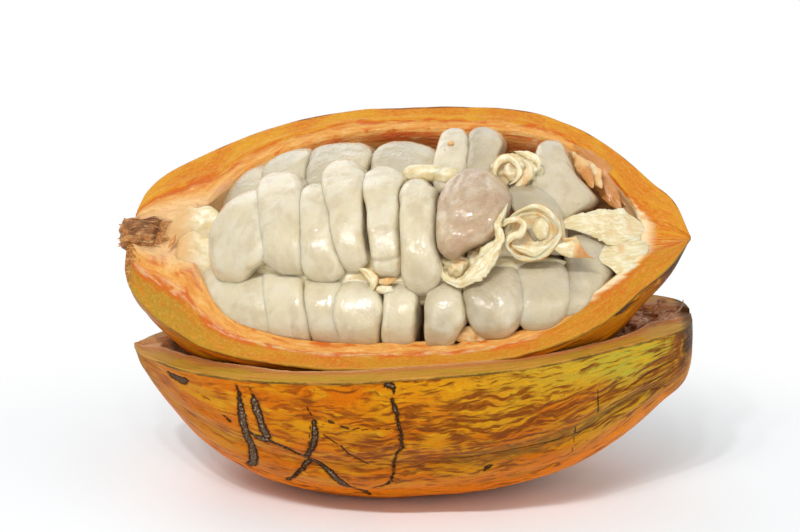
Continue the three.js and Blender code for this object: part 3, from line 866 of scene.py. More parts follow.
# Scars of the emptied half's skin: place along the pod, angle below the near edge in
# degrees, and half width. They are where a climbing insect or a rub has corked the skin.
SCARS = [
    [(-45.6, 1.8, 0.25), (-45, 5, 0.6), (-45, 9.1, 0.9), (-45, 14, 1.3), (-45, 18.2, 1.5),
     (-44.7, 24, 1.2), (-44.6, 28.5, 1.5), (-44.2, 34, 1.3), (-44.2, 38, 1.5),
     (-45, 45, 1.3), (-46.7, 51.4, 1.5), (-47.6, 56, 1.2)],
    [(-41.6, 2.5, 0.1), (-41, 5, 0.5), (-40.6, 8, 1.3), (-40.2, 12, 1.5), (-39.7, 15.5, 1.2),
     (-39.2, 19, 1.5), (-38.7, 22.8, 1.4)],
    [(-43.6, 22.6, 0.3), (-42.4, 24, 0.8), (-40.6, 25, 1.5), (-38.6, 24.6, 1.2)],
    [(-40.1, 24.3, 1.1), (-36.8, 25.4, 0.6), (-33.7, 26.9, 0.9), (-30, 30, 0.55),
     (-26.8, 33.1, 1.1), (-24.6, 35.4, 0.8), (-22.3, 38.6, 1.2), (-19.8, 44, 1.3),
     (-17.8, 49.1, 1.4), (-15.4, 55, 1.1), (-13.2, 61.1, 0.6)],
    [(-24.1, 13.2, 0.8), (-24.2, 16, 1.1), (-24.4, 19.1, 1.0), (-25.2, 22.4, 1.1),
     (-26.2, 25.2, 0.9), (-28.3, 31.8, 0.9)],
    [(-28.1, 34.7, 1.0), (-30.6, 39.6, 0.8), (-32.9, 44.3, 0.6), (-34.6, 50, 0.8),
     (-36.5, 58, 0.8)],
    [(-4, 1.0, 0.5), (-2.6, 0.9, 1.0), (-1.7, 1.8, 0.8), (-1.5, 4, 0.1)],
    [(-2.2, 5.6, 0.5), (-1.8, 8.6, 0.9), (-1.3, 11.9, 0.6), (-0.9, 17, 0.6),
     (-0.9, 23.5, 0.6), (-2.9, 27.8, 0.45), (-4, 33, 0.5), (-4.7, 38.5, 0.45),
     (-5.8, 42.4, 0.6), (-7.5, 44.8, 0.5), (-10.8, 47.3, 0.45)],
    [(-67.4, 4.6, 1.0), (-65.6, 6, 2.2), (-63.6, 6.4, 2.4), (-62, 5, 1.4)],
    [(-50.6, 18, 0.35), (-49.3, 20, 0.6)],
    [(20.6, 41, 0.5), (22, 39.4, 0.8)],
]
CRACKS = [
    [(-25.4, 15.3, 0.25), (-26.6, 22, 0.2), (-28.2, 30.8, 0.25)],
    [(-25.6, 8.2, 0.3), (-24.7, 11, 0.25)],
    [(-22.1, 18, 0.25), (-18.6, 21.8, 0.25)], [(-17.6, 22.6, 0.35), (-15.5, 27, 0.3),
     (-11.1, 33.1, 0.35)],
    [(-19.8, 12.8, 0.6), (-18.6, 13.2, 0.3)], [(-16.8, 14.2, 0.3), (-14.8, 15, 0.35)],
    [(-13.6, 15.4, 0.2), (-12, 14.8, 0.3)], [(-11, 15.6, 0.25), (-9.4, 15.2, 0.2)],
    [(-8.2, 15.8, 0.2), (-6.4, 15.4, 0.25)], [(-5, 16, 0.2), (-3.4, 15.8, 0.2)],
    [(7.7, 32.9, 0.1), (15.1, 33.6, 0.2), (23.1, 33.3, 0.15), (34.4, 34.4, 0.25),
     (41.9, 35.7, 0.2), (50.7, 37, 0.25), (56.5, 34.2, 0.2), (65.6, 34, 0.2),
     (72, 42, 0.15), (76.5, 51.3, 0.1)],
    [(-4.2, 55.8, 0.2), (4.8, 54.4, 0.25), (16.1, 55.1, 0.2), (25, 52.8, 0.25),
     (29.4, 50.2, 0.15), (36, 54, 0.25), (41.5, 57.8, 0.2)],
    [(53, 16, 0.15), (53, 21.8, 0.25), (52.9, 29.6, 0.3)], [(46.6, 31, 0.2),
     (46.2, 35, 0.3), (45.8, 40, 0.15)], [(45.4, 43, 0.25), (45, 48, 0.2)],
    [(60, 24.6, 0.15), (65.1, 22.3, 0.3), (69, 20.4, 0.25), (74, 22, 0.3)],
    [(66, 27, 0.2), (71, 29, 0.3), (76, 28, 0.2)], [(70, 7, 0.15), (75, 8, 0.25)],
    [(-57, 11, 0.15), (-54.5, 12, 0.25)], [(-48, 30, 0.2), (-46.6, 31.6, 0.15)],
]
# The same kinds of marks on the half that holds the beans, mostly behind and below.
BACK_SCARS = [
    [(30, 128, 0.4), (33, 134, 1.0), (34, 142, 0.8), (32, 150, 0.3)],
    [(-38, 96, 0.3), (-36, 104, 0.9), (-33, 110, 0.6), (-28, 114, 0.3)],
    [(64.4, 1.2, 0.5), (66.6, 2.6, 1.6), (68.8, 3.2, 0.6)],
    [(8, 62, 0.3), (12, 66, 0.8), (13, 74, 0.5)],
]
BACK_CRACKS = [
    [(-30, 122, 0.1), (-5, 124, 0.15), (20, 122, 0.1)], [(53.4, 4.6, 0.9), (55, 5.4, 0.8)],
    [(10, 84, 0.15), (35, 85, 0.15), (52, 84, 0.1)],
    [(-50, 60, 0.2), (-44, 64, 0.15), (-40, 72, 0.2)],
]
NOTCH = (21.5, 1.4)              # a nick in the inner side of the near cut face
MARK_REACH = 4.0                 # how far off a scar or a crack is still felt
TORN_REACH = 6.0                 # and how far off torn flesh is
DEEP = 22.0                      # the hollow's distance from the skin, for the finishes
FINE_TURN = math.radians(75)     # points lie closer from the near edge down to here


def stroke_field(strokes, x, degrees):
    """At each point, the greatest of half width minus distance to any stroke, both in
    millimetres on the skin; at least minus the reach of a mark."""
    best = np.full(x.shape, -MARK_REACH)
    for stroke in strokes:
        line = np.array(stroke, float) * (1, DEGREE, 1)
        for a, b in zip(line[:-1], line[1:]):
            t, away = to_line(x, degrees * DEGREE, a, b)
            best = np.maximum(best, a[2] + (b[2] - a[2]) * t - away)
    return best


def skin_relief(x, degrees, seed, height):
    """Low swellings drawn out along the pod, and small warts between them."""
    p = stack(x, degrees * DEGREE, 0)
    long_ones = grain(p, (17, 5.2, 1), seed, 2)
    short_ones = grain(p, (6.5, 2.6, 1), seed + 1, 2)
    return height * (1.5 * long_ones + 0.7 * short_ones)


def husk_grid(outline, cavity, furrows, height, edge, seed, spread, scars, cracks, torn,
              dried):
    """One closed surface for a half husk. Across each station the section runs round the
    outside, in over the far cut face, back round the hollow and out over the near cut
    face. Outside: y = -r cos a, z = -r sin a, with r the outline less the furrows plus
    the relief, whose height is given; edge rounds it into the cut face. Hollow: an
    ellipse. Past the hollow's ends its depth falls to nothing and the cut face closes
    over it. spread gives the numbers of rows and of points round the near side, the rest,
    a cut face and the hollow; torn gives a place and radius of torn flesh."""
    rows, near, rest, face, inner = spread
    first, last = outline[0][0] + 0.2, outline[-1][0] - 0.2
    t = (np.linspace(0, 1, rows) + crowded(rows, 0)) / 2
    x = (first + (last - first) * t)[:, None]
    a = np.concatenate([np.linspace(0, FINE_TURN, near, endpoint=False),
                        np.linspace(FINE_TURN, math.pi, rest)])[None]
    along, degrees = x + 0 * a, np.degrees(a) + 0 * x
    base = radius(outline, x, a)
    depth = furrow_depth(furrows, x, a)
    scar = stroke_field(scars, along, degrees)
    crack = stroke_field(cracks, along, degrees)
    swell = skin_relief(along, degrees, seed, height) * smooth(0, 12, base)
    groove = 0.3 * smooth(-0.6, 0.3, scar) - 0.22 * smooth(0.2, 1.0, scar)
    r = base - depth + swell - groove - 0.25 * smooth(-0.4, 0.1, crack)
    corner = np.minimum(edge / np.maximum(r, 1), 0.5)
    squeeze = corner + (math.pi - 2 * corner) * a / math.pi
    outside = stack(x, -r * np.cos(squeeze), -r * np.sin(squeeze))

    share = np.concatenate([[0.0, 0.006, 0.025, 0.055], np.linspace(0.1, 1, face - 4)])[None]
    open_here = (x > cavity[0][0]) * (x < cavity[-1][0])
    belly = between(cavity, 3, x) * open_here

    def cut_face(column, ring, sign, key):
        """The far or near cut face, its inner edge and its distances from the skin."""
        outer_edge = r[:, ring][:, None]
        inner_edge = np.clip(between(cavity, column, x) * open_here,
                             0.3 * outer_edge, 0.8 * outer_edge)
        inset = (outer_edge - inner_edge) * share
        y = sign * (outer_edge - inset)
        p = stack(x, y, 0)
        if dried:
            z = 0.30 * grain(p, (16, 4, 1), key, 2) + 0.16 * grain(p, (3, 0.9, 1), key + 2, 2)
            z = z + 0.55 * hill(share, 0.86, 0.13) - 0.5 * smooth(0.45, 0.0, share)
        else:
            z = 0.34 * grain(p, (13, 3.2, 1), key, 3) * smooth(0.3, 0.7, share)
            z = z + 0.16 * grain(p, (2.6, 1.0, 1), key + 2, 2) * smooth(0.35, 0.6, share)
            z = z + 0.25 * hill(share, 0.5, 0.07) + 0.10 * grain(p, (20, 6, 1), key + 3, 1)
        z = z * smooth(0, 0.25, share) - 0.9 * smooth(0.88, 1.0, share) ** 2
        z = z - edge * (1 - np.sqrt(1 - (1 - np.clip(inset / edge, 0, 1)) ** 2))
        if sign < 0 and not dried:
            z = z - 1.5 * hill(x, *NOTCH) * smooth(0.62, 0.95, share)
        return stack(x, y, z), inner_edge, inset

    far_face, far_edge, far_inset = cut_face(1, -1, 1, seed + 5)
    near_face, near_edge, near_inset = cut_face(2, 0, -1, seed + 9)
    b = np.linspace(math.pi, 0, inner + 2)[1:-1][None]
    across = np.where(np.cos(b) > 0, near_edge, far_edge)
    lumps = grain(stack(x, 22 * b, 0), (9, 6, 1), seed + 11, 3)
    shrink = 1 - 0.022 * (1 + lumps)
    hollow = stack(x, -across * np.cos(b) * shrink,
                   np.minimum(-belly * np.sin(b) * shrink, 0) - 0.9)
    grid = np.concatenate([outside, far_face, hollow, near_face[:, ::-1]], axis=1)

    count = [near + rest, face, inner, face]

    def columns(*parts):
        """One field from its values on the outside, far face, hollow and near face."""
        return np.concatenate([np.broadcast_to(part, (rows, n))
                               for part, n in zip(parts, count)], axis=1)

    ragged = torn[2] - np.hypot(grid[..., 0] - torn[0], grid[..., 1] - torn[1])
    fields = {
        "along": grid[..., 0],
        "torn": np.maximum(ragged, -TORN_REACH),
        "turn": columns(degrees, 180.0, np.degrees(b), 0.0),
        "inset": columns(0.0, far_inset, DEEP, near_inset[:, ::-1]),
        "share": columns(0.0, share, 1.0, share[:, ::-1]),
        "scar": columns(scar, *[-MARK_REACH] * 3),
        "crack": columns(crack, *[-MARK_REACH] * 3),
        "furrow": columns(depth, 0.0, 0.0, 0.0),
        "ridge": columns(swell / height, 0.0, 0.0, 0.0),
    }
    # Which finish each face has: skin 0, cut face 1, hollow 2.
    zone = np.repeat([0, 1, 2, 1], count)
    zone[[count[0] - 1, -1]] = 0
    zone[[count[0] + face - 1, count[0] + face + inner - 1]] = 2
    zones = np.tile(zone, (rows - 1, 1))
    closed = (belly[:-1] < 3) & (zones == 2)
    zones[closed] = 1
    ends = np.where(zone == 2, 1, zone)
    return grid, fields, np.concatenate([zones.ravel(), ends, ends])


def husk_piece(name, surface, pose, finishes, node, slot):
    """Places a half husk, flat where it touches the ground, in place of its node."""
    grid, fields, zones = surface
    points = placed(with_poles(grid), pose)
    points[:, 2] = np.maximum(points[:, 2], 0)
    faces = outward(points, tube_faces(*grid.shape[:2]))
    fields = {key: with_poles(value[..., None])[:, 0] for key, value in fields.items()}
    piece = new_piece(name, points, faces, finishes, zones, fields)
    stand_in(piece, slot, node)


class POD_OT_full_husk(bpy.types.Operator):
    """Build the half husk that still holds the beans"""
    bl_idname = "pod.full_husk"
    bl_label = "Husk With Beans"

    def execute(self, context):
        skin, flesh = context.scene.pod_skin, context.scene.pod_flesh
        surface = husk_grid(FULL_HUSK, FULL_CAVITY, FULL_FURROWS, skin.relief / MM,
                            flesh.edge_round / MM, 3, (310, 66, 80, 40, 48), BACK_SCARS,
                            BACK_CRACKS, (-73, -1.5, 7), dried=False)
        finishes = [
            skin_finish("pod_skin_full", skin, 60, 130, 0.45),
            flesh_finish("pod_flesh_fresh", flesh),
            wall_finish("pod_wall_fresh", "D0602A", "E6964A", "F6CC92"),
        ]
        husk_piece("husk_full", surface, FULL_POSE, finishes, "husk_full_half", "husk")
        return {"FINISHED"}


class POD_OT_empty_husk(bpy.types.Operator):
    """Build the emptied half husk that lies underneath"""
    bl_idname = "pod.empty_husk"
    bl_label = "Emptied Husk"

    def execute(self, context):
        skin, flesh = context.scene.pod_skin, context.scene.pod_flesh
        surface = husk_grid(EMPTY_HUSK, EMPTY_CAVITY, EMPTY_FURROWS, skin.relief / MM,
                            flesh.edge_round / MM, 5, (330, 156, 56, 20, 32), SCARS,
                            CRACKS, (73, 0, 14), dried=True)
        finishes = [
            skin_finish("pod_skin_empty", skin, -8, 54),
            dried_rim_finish("pod_rim_dried", flesh),
            wall_finish("pod_wall_dried", "A0683E", "C8966A", "EAD0A8"),
        ]
        husk_piece("husk_empty", surface, EMPTY_POSE, finishes, "husk_empty_half",
                   "husk_dry")
        return {"FINISHED"}


# ---------------------------------------------------------------- beans

# The beans are drawn in a frame that lies across the rows: u along the pod, s up across
# the rows, n out of them. s and n are v and w turned by this share of each.
UP, OUT = 0.786, 0.618

# Each bean, from its foot to its crown: height s, then its two edges along u. After
# them come how far it stands out of its row, how round it is, how far its pulp runs into
# its two neighbours, and its blush, its grey (painted shade) and its white ridge (a
# painted highlight along its crest).
MIDDLE_ROW = [
    ([(-16.6, -47.5, -43.5), (-14.4, -50.2, -41), (-12, -51.6, -39), (-9.8, -52.4, -36),
      (-6.4, -53, -33.6), (-1, -52.8, -34.4), (3, -51.4, -35.2), (7, -49, -36.8),
      (9.4, -46.4, -37.6), (11.6, -42.6, -38.4)], 0.8, 1.0, 0.0, 2.2, 0.0, 0.1, 0.1),
    ([(-13.2, -27, -22.6), (-11.7, -29.6, -22.2), (-9, -33.2, -22.5), (-3.4, -34, -23.1),
      (2.3, -35.2, -23.9), (8, -37, -25.2), (12.8, -38.4, -26.8), (15, -38, -28.6),
      (16.9, -36, -31)], 1.0, 0.85, 1.6, 0.9, 0.0, 0.1, 0.0),
    ([(-15.5, -18, -14.4), (-13.7, -20.8, -11.8), (-11.5, -22, -10.6), (-6, -22.6, -12.4),
      (3.8, -23.8, -15.5), (11.1, -25, -18.5), (13.2, -24, -20.6)],
     0.5, 0.85, 0.5, 0.7, 0.0, 0.1, 0.3),
    ([(-12, -9.6, -5.4), (-9.1, -11, -3.4), (-5.8, -12.1, -3.9), (4, -15.2, -5.8),
      (12.8, -19.2, -7.4), (16, -20.1, -8), (18.4, -19.7, -10), (20.8, -17, -13.4)],
     1.3, 0.95, 0.6, 0.2, 0.0, 0.1, 0.1),
    ([(-14.2, 0, 3.4), (-12, -1.6, 5.6), (-8.4, -2.4, 5.9), (-5.6, -2.8, 5.5),
      (2.8, -4.3, 4.3), (11.4, -7.2, 3.3), (14.5, -8.4, 3.4), (16.6, -8.2, 1.8),
      (18.8, -5.8, -2)], 0.6, 0.95, 0.3, 0.2, 0.0, 0.05, 0.1),
    ([(-18.4, 10.6, 12.6), (-16.4, 8.1, 15), (-13.6, 6.4, 16.9), (-9.5, 6.1, 17.1),
      (-2.6, 5.6, 15.3), (5.2, 4.4, 14.4), (11.6, 3.4, 12.7), (13.4, 3.9, 11),
      (15, 5.6, 9)], 1.3, 1.15, 0.2, 0.3, 0.0, 0.1, 0.2),
    ([(-8, 18.8, 20.8), (-5.2, 16.6, 24.5), (-2.4, 15.7, 29.5), (1.8, 15.1, 33),
      (7.5, 14.9, 34.6), (11.8, 15.5, 33.6), (15.4, 17.4, 30.4), (18.4, 20.6, 26)],
     2.2, 1.35, 0.3, 0.3, 0.9, 0.0, 0.0),
    ([(-6, 44, 49.5), (-1, 40, 49.6), (4.9, 36.5, 48.2), (9.1, 33, 46), (12, 32.8, 43),
      (14.4, 35.4, 39.4)], -3.5, 1.1, 0.6, 0.3, 0.1, 0.95, 0.0),
]
NEAR_ROW = [
    ([(-33.5, -37, -32), (-29, -42, -31.7), (-25.8, -45.2, -31.7), (-22, -49.6, -32.4),
      (-17.6, -54.4, -33.2), (-13.6, -58, -34), (-11, -58.8, -34.6), (-9.2, -55, -35)],
     0.0, 0.8, 0.4, 1.2, 0.0, 0.05, 0.5),
    ([(-35, -31.6, -19.6), (-30, -32, -19.5), (-25.5, -32.2, -19.8), (-17.4, -33.4, -21.8),
      (-11, -34.6, -23.6), (-8.4, -32, -26)], 0.2, 0.75, 1.2, 0.1, 0.0, 0.0, 0.6),
    ([(-35, -19, -9), (-29.5, -19.6, -9.2), (-25.2, -19.9, -10.4), (-21.2, -20.9, -12),
      (-17, -21.9, -11.6), (-12.4, -22.4, -12.4), (-10, -20, -14.4)],
     0.0, 0.75, 0.1, 1.2, 0.0, 0.1, 0.4),
    ([(-35, -10.8, -0.4), (-29.1, -11, 0.1), (-25, -11.8, 1.1), (-22.2, -12.2, 1.4),
      (-19.5, -12, 0.7), (-16.8, -11.2, -0.6), (-13, -9, -3.2)],
     0.8, 0.9, 0.9, 0.1, 0.0, 0.0, 0.35),
    ([(-35, 0, 9.6), (-29, 0.4, 10.2), (-24.7, 1.2, 10.8), (-19.2, 1, 10.9),
      (-16, 0.6, 9.8), (-12, 2, 7.6)], 0.0, 0.8, 0.1, 0.0, 0.0, 0.0, 0.5),
    ([(-35, 13, 19), (-31.3, 12.8, 20.6), (-27.1, 12.6, 23), (-24, 12.9, 24.7),
      (-19, 12.6, 23.6), (-14.9, 13.4, 22), (-11.5, 15, 20)],
     0.6, 0.95, 0.0, 0.2, 0.0, 0.4, 0.2),
    ([(-30, 29, 34.6), (-27, 26.2, 37.4), (-24, 24.8, 39.4), (-20.5, 24, 40.8),
      (-16.4, 23.2, 40.2), (-12.4, 25.4, 38.6), (-8.6, 30, 36.8), (-6.8, 32, 35.8)],
     1.4, 1.35, 0.3, 0.3, 0.15, 0.75, 0.0),
    ([(-28, 40.6, 45.4), (-24.4, 38.8, 49.6), (-19.6, 38.6, 52.4), (-16, 38.6, 53.2),
      (-11.6, 37, 51.6), (-7.6, 37, 48.6), (-5, 40, 45.6)],
     0.2, 1.2, 0.6, 0.3, 0.05, 0.5, 0.2),
    ([(-25, 50, 54), (-20, 50.6, 57), (-15, 51, 60), (-10, 50.6, 62.8), (-5.4, 49.4, 63.6),
      (-1.6, 49.4, 62), (0.8, 53, 58)], -0.6, 1.2, 0.8, 0.6, 0.1, 0.8, 0.2),
]
FAR_ROW = [
    ([(0, -56.5, -44), (6.7, -56, -42), (9.7, -55, -41.6), (12.8, -53.2, -41.4),
      (16, -50.8, -41.4), (18, -48.4, -41.6), (19.8, -45, -42.6)],
     -0.6, 0.95, 0.3, 0.8, 0.0, 0.6, 0.0),
    ([(5, -41, -29), (13, -42, -28), (19, -42.2, -28.2), (21.4, -40.6, -28.2),
      (23.2, -37.4, -28.4), (24.8, -33.4, -29.4)], 0.2, 0.85, 0.8, 0.1, 0.0, 0.6, 0.1),
    ([(6, -27.6, -10.5), (14.3, -28, -10), (20.8, -28.5, -9.5), (23.6, -28.3, -9.6),
      (25.2, -27, -10.8), (26.6, -22, -13)], 1.2, 0.95, 0.1, 0.1, 0.0, 0.7, 0.2),
    ([(6, -8, 9.5), (15, -8.8, 10.4), (21, -9.2, 9.8), (23.6, -9, 9.2), (25.6, -8, 6),
      (27.2, -5, 0.4)], 1.0, 0.95, 0.1, 0.4, 0.0, 0.65, 0.1),
    ([(10, 12, 18.6), (16.4, 10.4, 20.2), (22, 10.2, 19.8), (27, 10.2, 18.6),
      (29.4, 10.6, 17.4), (31.2, 12.4, 15.6)], 4.6, 1.1, 0.3, 0.3, 0.0, 0.15, 0.45),
    ([(10, 21, 28), (17.6, 20, 28), (22.4, 19.6, 28), (26, 19.2, 28.8), (29, 18.8, 27.6),
      (30.6, 19.4, 25.6), (31.8, 21, 23.4)], 3.6, 1.05, 0.5, 0.3, 0.15, 0.8, 0.0),
    ([(2.4, 47.2, 49.2), (5.5, 46, 51.2), (7.8, 43, 55), (10.4, 40, 56.4), (13, 38, 54.6),
      (17.1, 37.7, 50.6), (20, 39, 48.8), (24, 38.8, 47), (26.6, 39.4, 45.8),
      (28, 41, 44.4)], 4.8, 1.1, 0.3, 0.3, 0.1, 0.3, 0.1),
]
# Creases pressed into the pulp, and soft folds raised on it: depth, half width, then
# the places (u, s) it runs through. A raised fold has a depth below nothing.
CREASES = [
    (0.9, 0.6, [(-3.4, -8.4), (1.5, -8.9), (5.4, -7.6)]),
    (0.5, 0.8, [(13.3, 9), (11.2, 7.2), (10.1, 1.8), (10.3, -4), (12.4, -6.2)]),
    (0.45, 1.6, [(-47, -2), (-46.4, -6), (-45, -11)]),
    (-0.35, 0.6, [(-33, 9), (-32.4, 4), (-31.8, -1)]),
    (-0.35, 0.9, [(-14.6, 15), (-12.6, 6), (-10, -4)]),
    (-0.3, 0.9, [(-21.4, 10), (-19.8, 1), (-18.2, -10)]),
    (0.3, 0.5, [(-2.2, 10.5), (-1.6, 6.5)]),
    (0.9, 0.6, [(21, 13), (24, 9.5), (23, 4.5), (24.6, 1)]),
    (0.9, 0.7, [(27, 15.6), (29, 10.5), (27.4, 6)]),
    (0.8, 0.6, [(17.6, 8), (19.4, 4.4), (18.6, 0)]),
    (0.8, 0.7, [(26.6, 3), (30, 5), (32, 8.6)]),
    (0.7, 0.5, [(19, -1), (21.4, 1), (22, 4)]), (0.6, 0.5, [(25.6, -2), (28, 0.4)]),
    (0.7, 0.6, [(20, 15.6), (19, 12), (20.4, 8.6)]), (0.6, 0.5, [(24, 16.6), (25.4, 13)]),
    (-0.5, 0.8, [(25.6, 9), (26, 4), (24, -1.6)]), (0.5, 0.5, [(31, 2), (29, 0)]),
    (0.35, 0.8, [(-27.4, -12), (-27.2, -20), (-26, -29)]),
    (0.4, 1.1, [(-46, -15), (-41.5, -21.5), (-37, -26.5)]),
    (0.3, 0.6, [(3.6, -17), (3.2, -24), (3.8, -30)]),
    (-0.45, 1.1, [(17, -16), (16.4, -22), (16, -28)]),
    (0.45, 0.9, [(27, -15), (32.4, -18.4), (36.6, -23.4)]),
    (-0.5, 1.2, [(43, -11), (46, -16), (46.6, -21)]),
    (-0.6, 1.0, [(53.6, -5), (55.4, -9.4), (56, -13)]),
    (0.5, 0.9, [(42, 25), (42.4, 19), (45, 13.4)]),
    (-0.5, 1.0, [(39.6, 11), (45, 12), (52, 9.4)]),
    (0.4, 0.7, [(-5, 23.6), (1.4, 22.4), (8.4, 20.6)]),
    (0.4, 0.8, [(-24, 22), (-18, 23.8), (-12, 23)]),
    (0.5, 0.5, [(13.8, 26.6), (13.4, 25.2)]),
]
# How far each row's front stands out, n, at heights s.
MIDDLE_FRONT = [(-20, 25.6), (-12, 27.2), (-4, 26.2), (4, 22.6), (11, 17.4), (16, 11.6), (22, 5)]
NEAR_FRONT = [(-36, 20.6), (-31, 25.2), (-26, 27.4), (-20, 26.8), (-14, 23.4), (-6, 17)]
FAR_FRONT = [(0, 9), (8, 5), (14, 1.4), (20, -3.4), (25, -8.4), (32, -15)]
DEPTH = 7.2                      # from a bean's front to its middle
FULL_WIDTH = 38.5                # half width of the hollow that takes a row at full height
SINK = 24                        # how far a row would sink where the hollow closes


def from_rows(u, s, n):
    """Points of the rows' frame in the pod's own: v = UP s - OUT n, w = OUT s + UP n."""
    return stack(u, UP * s - OUT * n, OUT * s + UP * n)


def folds(u, s):
    """Sum over the creases of depth exp(-(distance / half width)^2)."""
    total = np.zeros(u.shape)
    for depth, width, line in CREASES:
        line = np.array(line, float)
        away = [to_line(u, s, a, b)[1] for a, b in zip(line[:-1], line[1:])]
        total += depth * hill(np.min(away, axis=0), 0, width)
    return total


def bean_grid(bean, front, seed, swell, rows=84, columns=76):
    """A bean's pulp. At height s its section is |(u - c) / a|^p + |(n - m) / b|^p = 1,
    where c and a come from its two edges, m and b from its row's front and the depth,
    and both half sizes close at the foot and crown by (1 - |2t - 1|^q)^(1/q). Towards
    the pod's ends the row sinks as the hollow narrows. Noise in two sizes and faint
    flutes from foot to crown are added along n and u."""
    outline, lift, round_off, into_left, into_right, blush = bean[:6]
    t = 0.35 * crowded(rows, 0.03) + 0.65 * np.linspace(0.002, 0.998, rows)
    foot, crown = outline[0][0], outline[-1][0]
    s = foot + (crown - foot) * t
    left, right = between_any(outline, 1, s), between_any(outline, 2, s)
    outer = between_any(front, 1, s) + lift
    c, d = oval(around(columns), 5.6 - 3.4 * (round_off - 0.75))
    left, right = left - into_left, right + into_right
    a = (right - left) / 2 * cap(t, 7)
    b = DEPTH * cap(t, 2.8) * min(1.25, 0.8 + 0.3 * round_off)
    u = (left + right)[:, None] / 2 + a[:, None] * c
    narrow = np.minimum(between(FULL_CAVITY, 1, u), between(FULL_CAVITY, 2, u)) / FULL_WIDTH
    n = (outer - DEPTH)[:, None] + b[:, None] * d - SINK * (1 - np.minimum(narrow, 1))
    height = s[:, None] + 0 * u
    here = stack(u, height, n)
    body = smooth(0, 0.6, cap(t, 2.8))[:, None]
    waves = 1.5 * grain(here, (8, 10, 8), seed, 2) \
        + (0.4 + 1.1 * blush) * grain(here, (2.6, 5, 3), seed + 1, 2)
    flutes = 0.22 * grain(here, (1.3, 22, 3), seed + 2, 2)
    n = n + swell * (waves + flutes) * body * np.sign(d + 1e-9)
    n = n - folds(u, height) * smooth(0.2, 0.6, d) * body
    u = u + swell * 0.8 * grain(here, (30, 6, 4), seed + 4, 2) * body
    return from_rows(u, height, n), t


def bean_fields(grid, t, bean, near):
    """Shares of blush, grey and white over a bean: grey, which is painted shade, grows
    towards its left edge and crown; white, which is a painted highlight, lies along a soft
    ridge."""
    blush, grey, ridge = bean[5:]
    u = grid[..., 0]
    centre, half = u.mean(1, keepdims=True), np.ptp(u, axis=1)[:, None] / 2 + 1e-6
    off = (u - centre) / half
    share = t[:, None] + 0 * off
    lit = grain(grid, (6, 6, 6), 77, 2)
    # Painted shade grows towards the left edge and crown; the painted highlight follows a crest.
    shade = grey * np.clip(0.45 + 0.5 * share - 0.45 * off + 0.5 * lit, 0, 1)
    crest = ridge * hill(share, 0.78 if near else 0.55, 0.2) * np.clip(0.9 + lit, 0, 1)
    return {"blush": blush * np.clip(0.9 + 0.6 * lit, 0, 1), "shade": shade, "ridge": crest}


def bean_row(label, row, front, finish, swell, seed):
    """The visible beans of one row, each a piece of its own."""
    for k, bean in enumerate(row):
        grid, t = bean_grid(bean, front, seed + 13 * k, swell)
        fields = bean_fields(grid, t, bean, label == "near")
        name = f"bean_{label}_{k + 1}"
        finish_piece("pulp_" + name, [grid], FULL_POSE, finish, name, "bean_pulp",
                     {key: [value] for key, value in fields.items()})


def hidden_row(label, finish):
    """Beans under the visible ones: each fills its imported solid's box."""
    inverse = turn_matrix(FULL_POSE[1])
    for name in sorted(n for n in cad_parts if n.startswith(f"bean_{label}_")):
        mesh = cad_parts[name].data
        co = np.empty(len(mesh.vertices) * 3)
        mesh.vertices.foreach_get("co", co)
        local = (co.reshape(-1, 3) / MM - np.array(FULL_POSE[0])) @ inverse
        low, high = local.min(0), local.max(0)
        centre, half = (low + high) / 2, (high - low) / 2
        t = crowded(20)[:, None]
        turn, full = around(28), cap(t, 2.6)
        grid = centre + half * stack(full * oval(turn, 3.2)[0], 2 * t - 1, full * np.sin(turn))
        grid += 0.035 * (grain(grid, (7, 8, 8), 3, 2) * full)[..., None] * (grid - centre)
        flat = np.zeros(grid.shape[:2])
        finish_piece("pulp_" + name, [grid], FULL_POSE, finish, name, "bean_pulp",
                     dict.fromkeys(("blush", "shade", "ridge"), [flat]))


class POD_OT_beans(bpy.types.Operator):
    """Build the pulp-covered beans, row by row"""
    bl_idname = "pod.beans"
    bl_label = "Beans"

    def execute(self, context):
        settings = context.scene.pod_pulp
        finish = pulp_finish("pod_pulp", settings)
        swell = settings.swell / MM
        bean_row("mid", MIDDLE_ROW, MIDDLE_FRONT, finish, swell, 101)
        bean_row("near", NEAR_ROW, NEAR_FRONT, finish, swell, 301)
        bean_row("far", FAR_ROW, FAR_FRONT, finish, swell, 501)
        hidden_row("under_near", finish)
        hidden_row("under_far", finish)
        return {"FINISHED"}


# ---------------------------------------------------------------- placenta and membranes

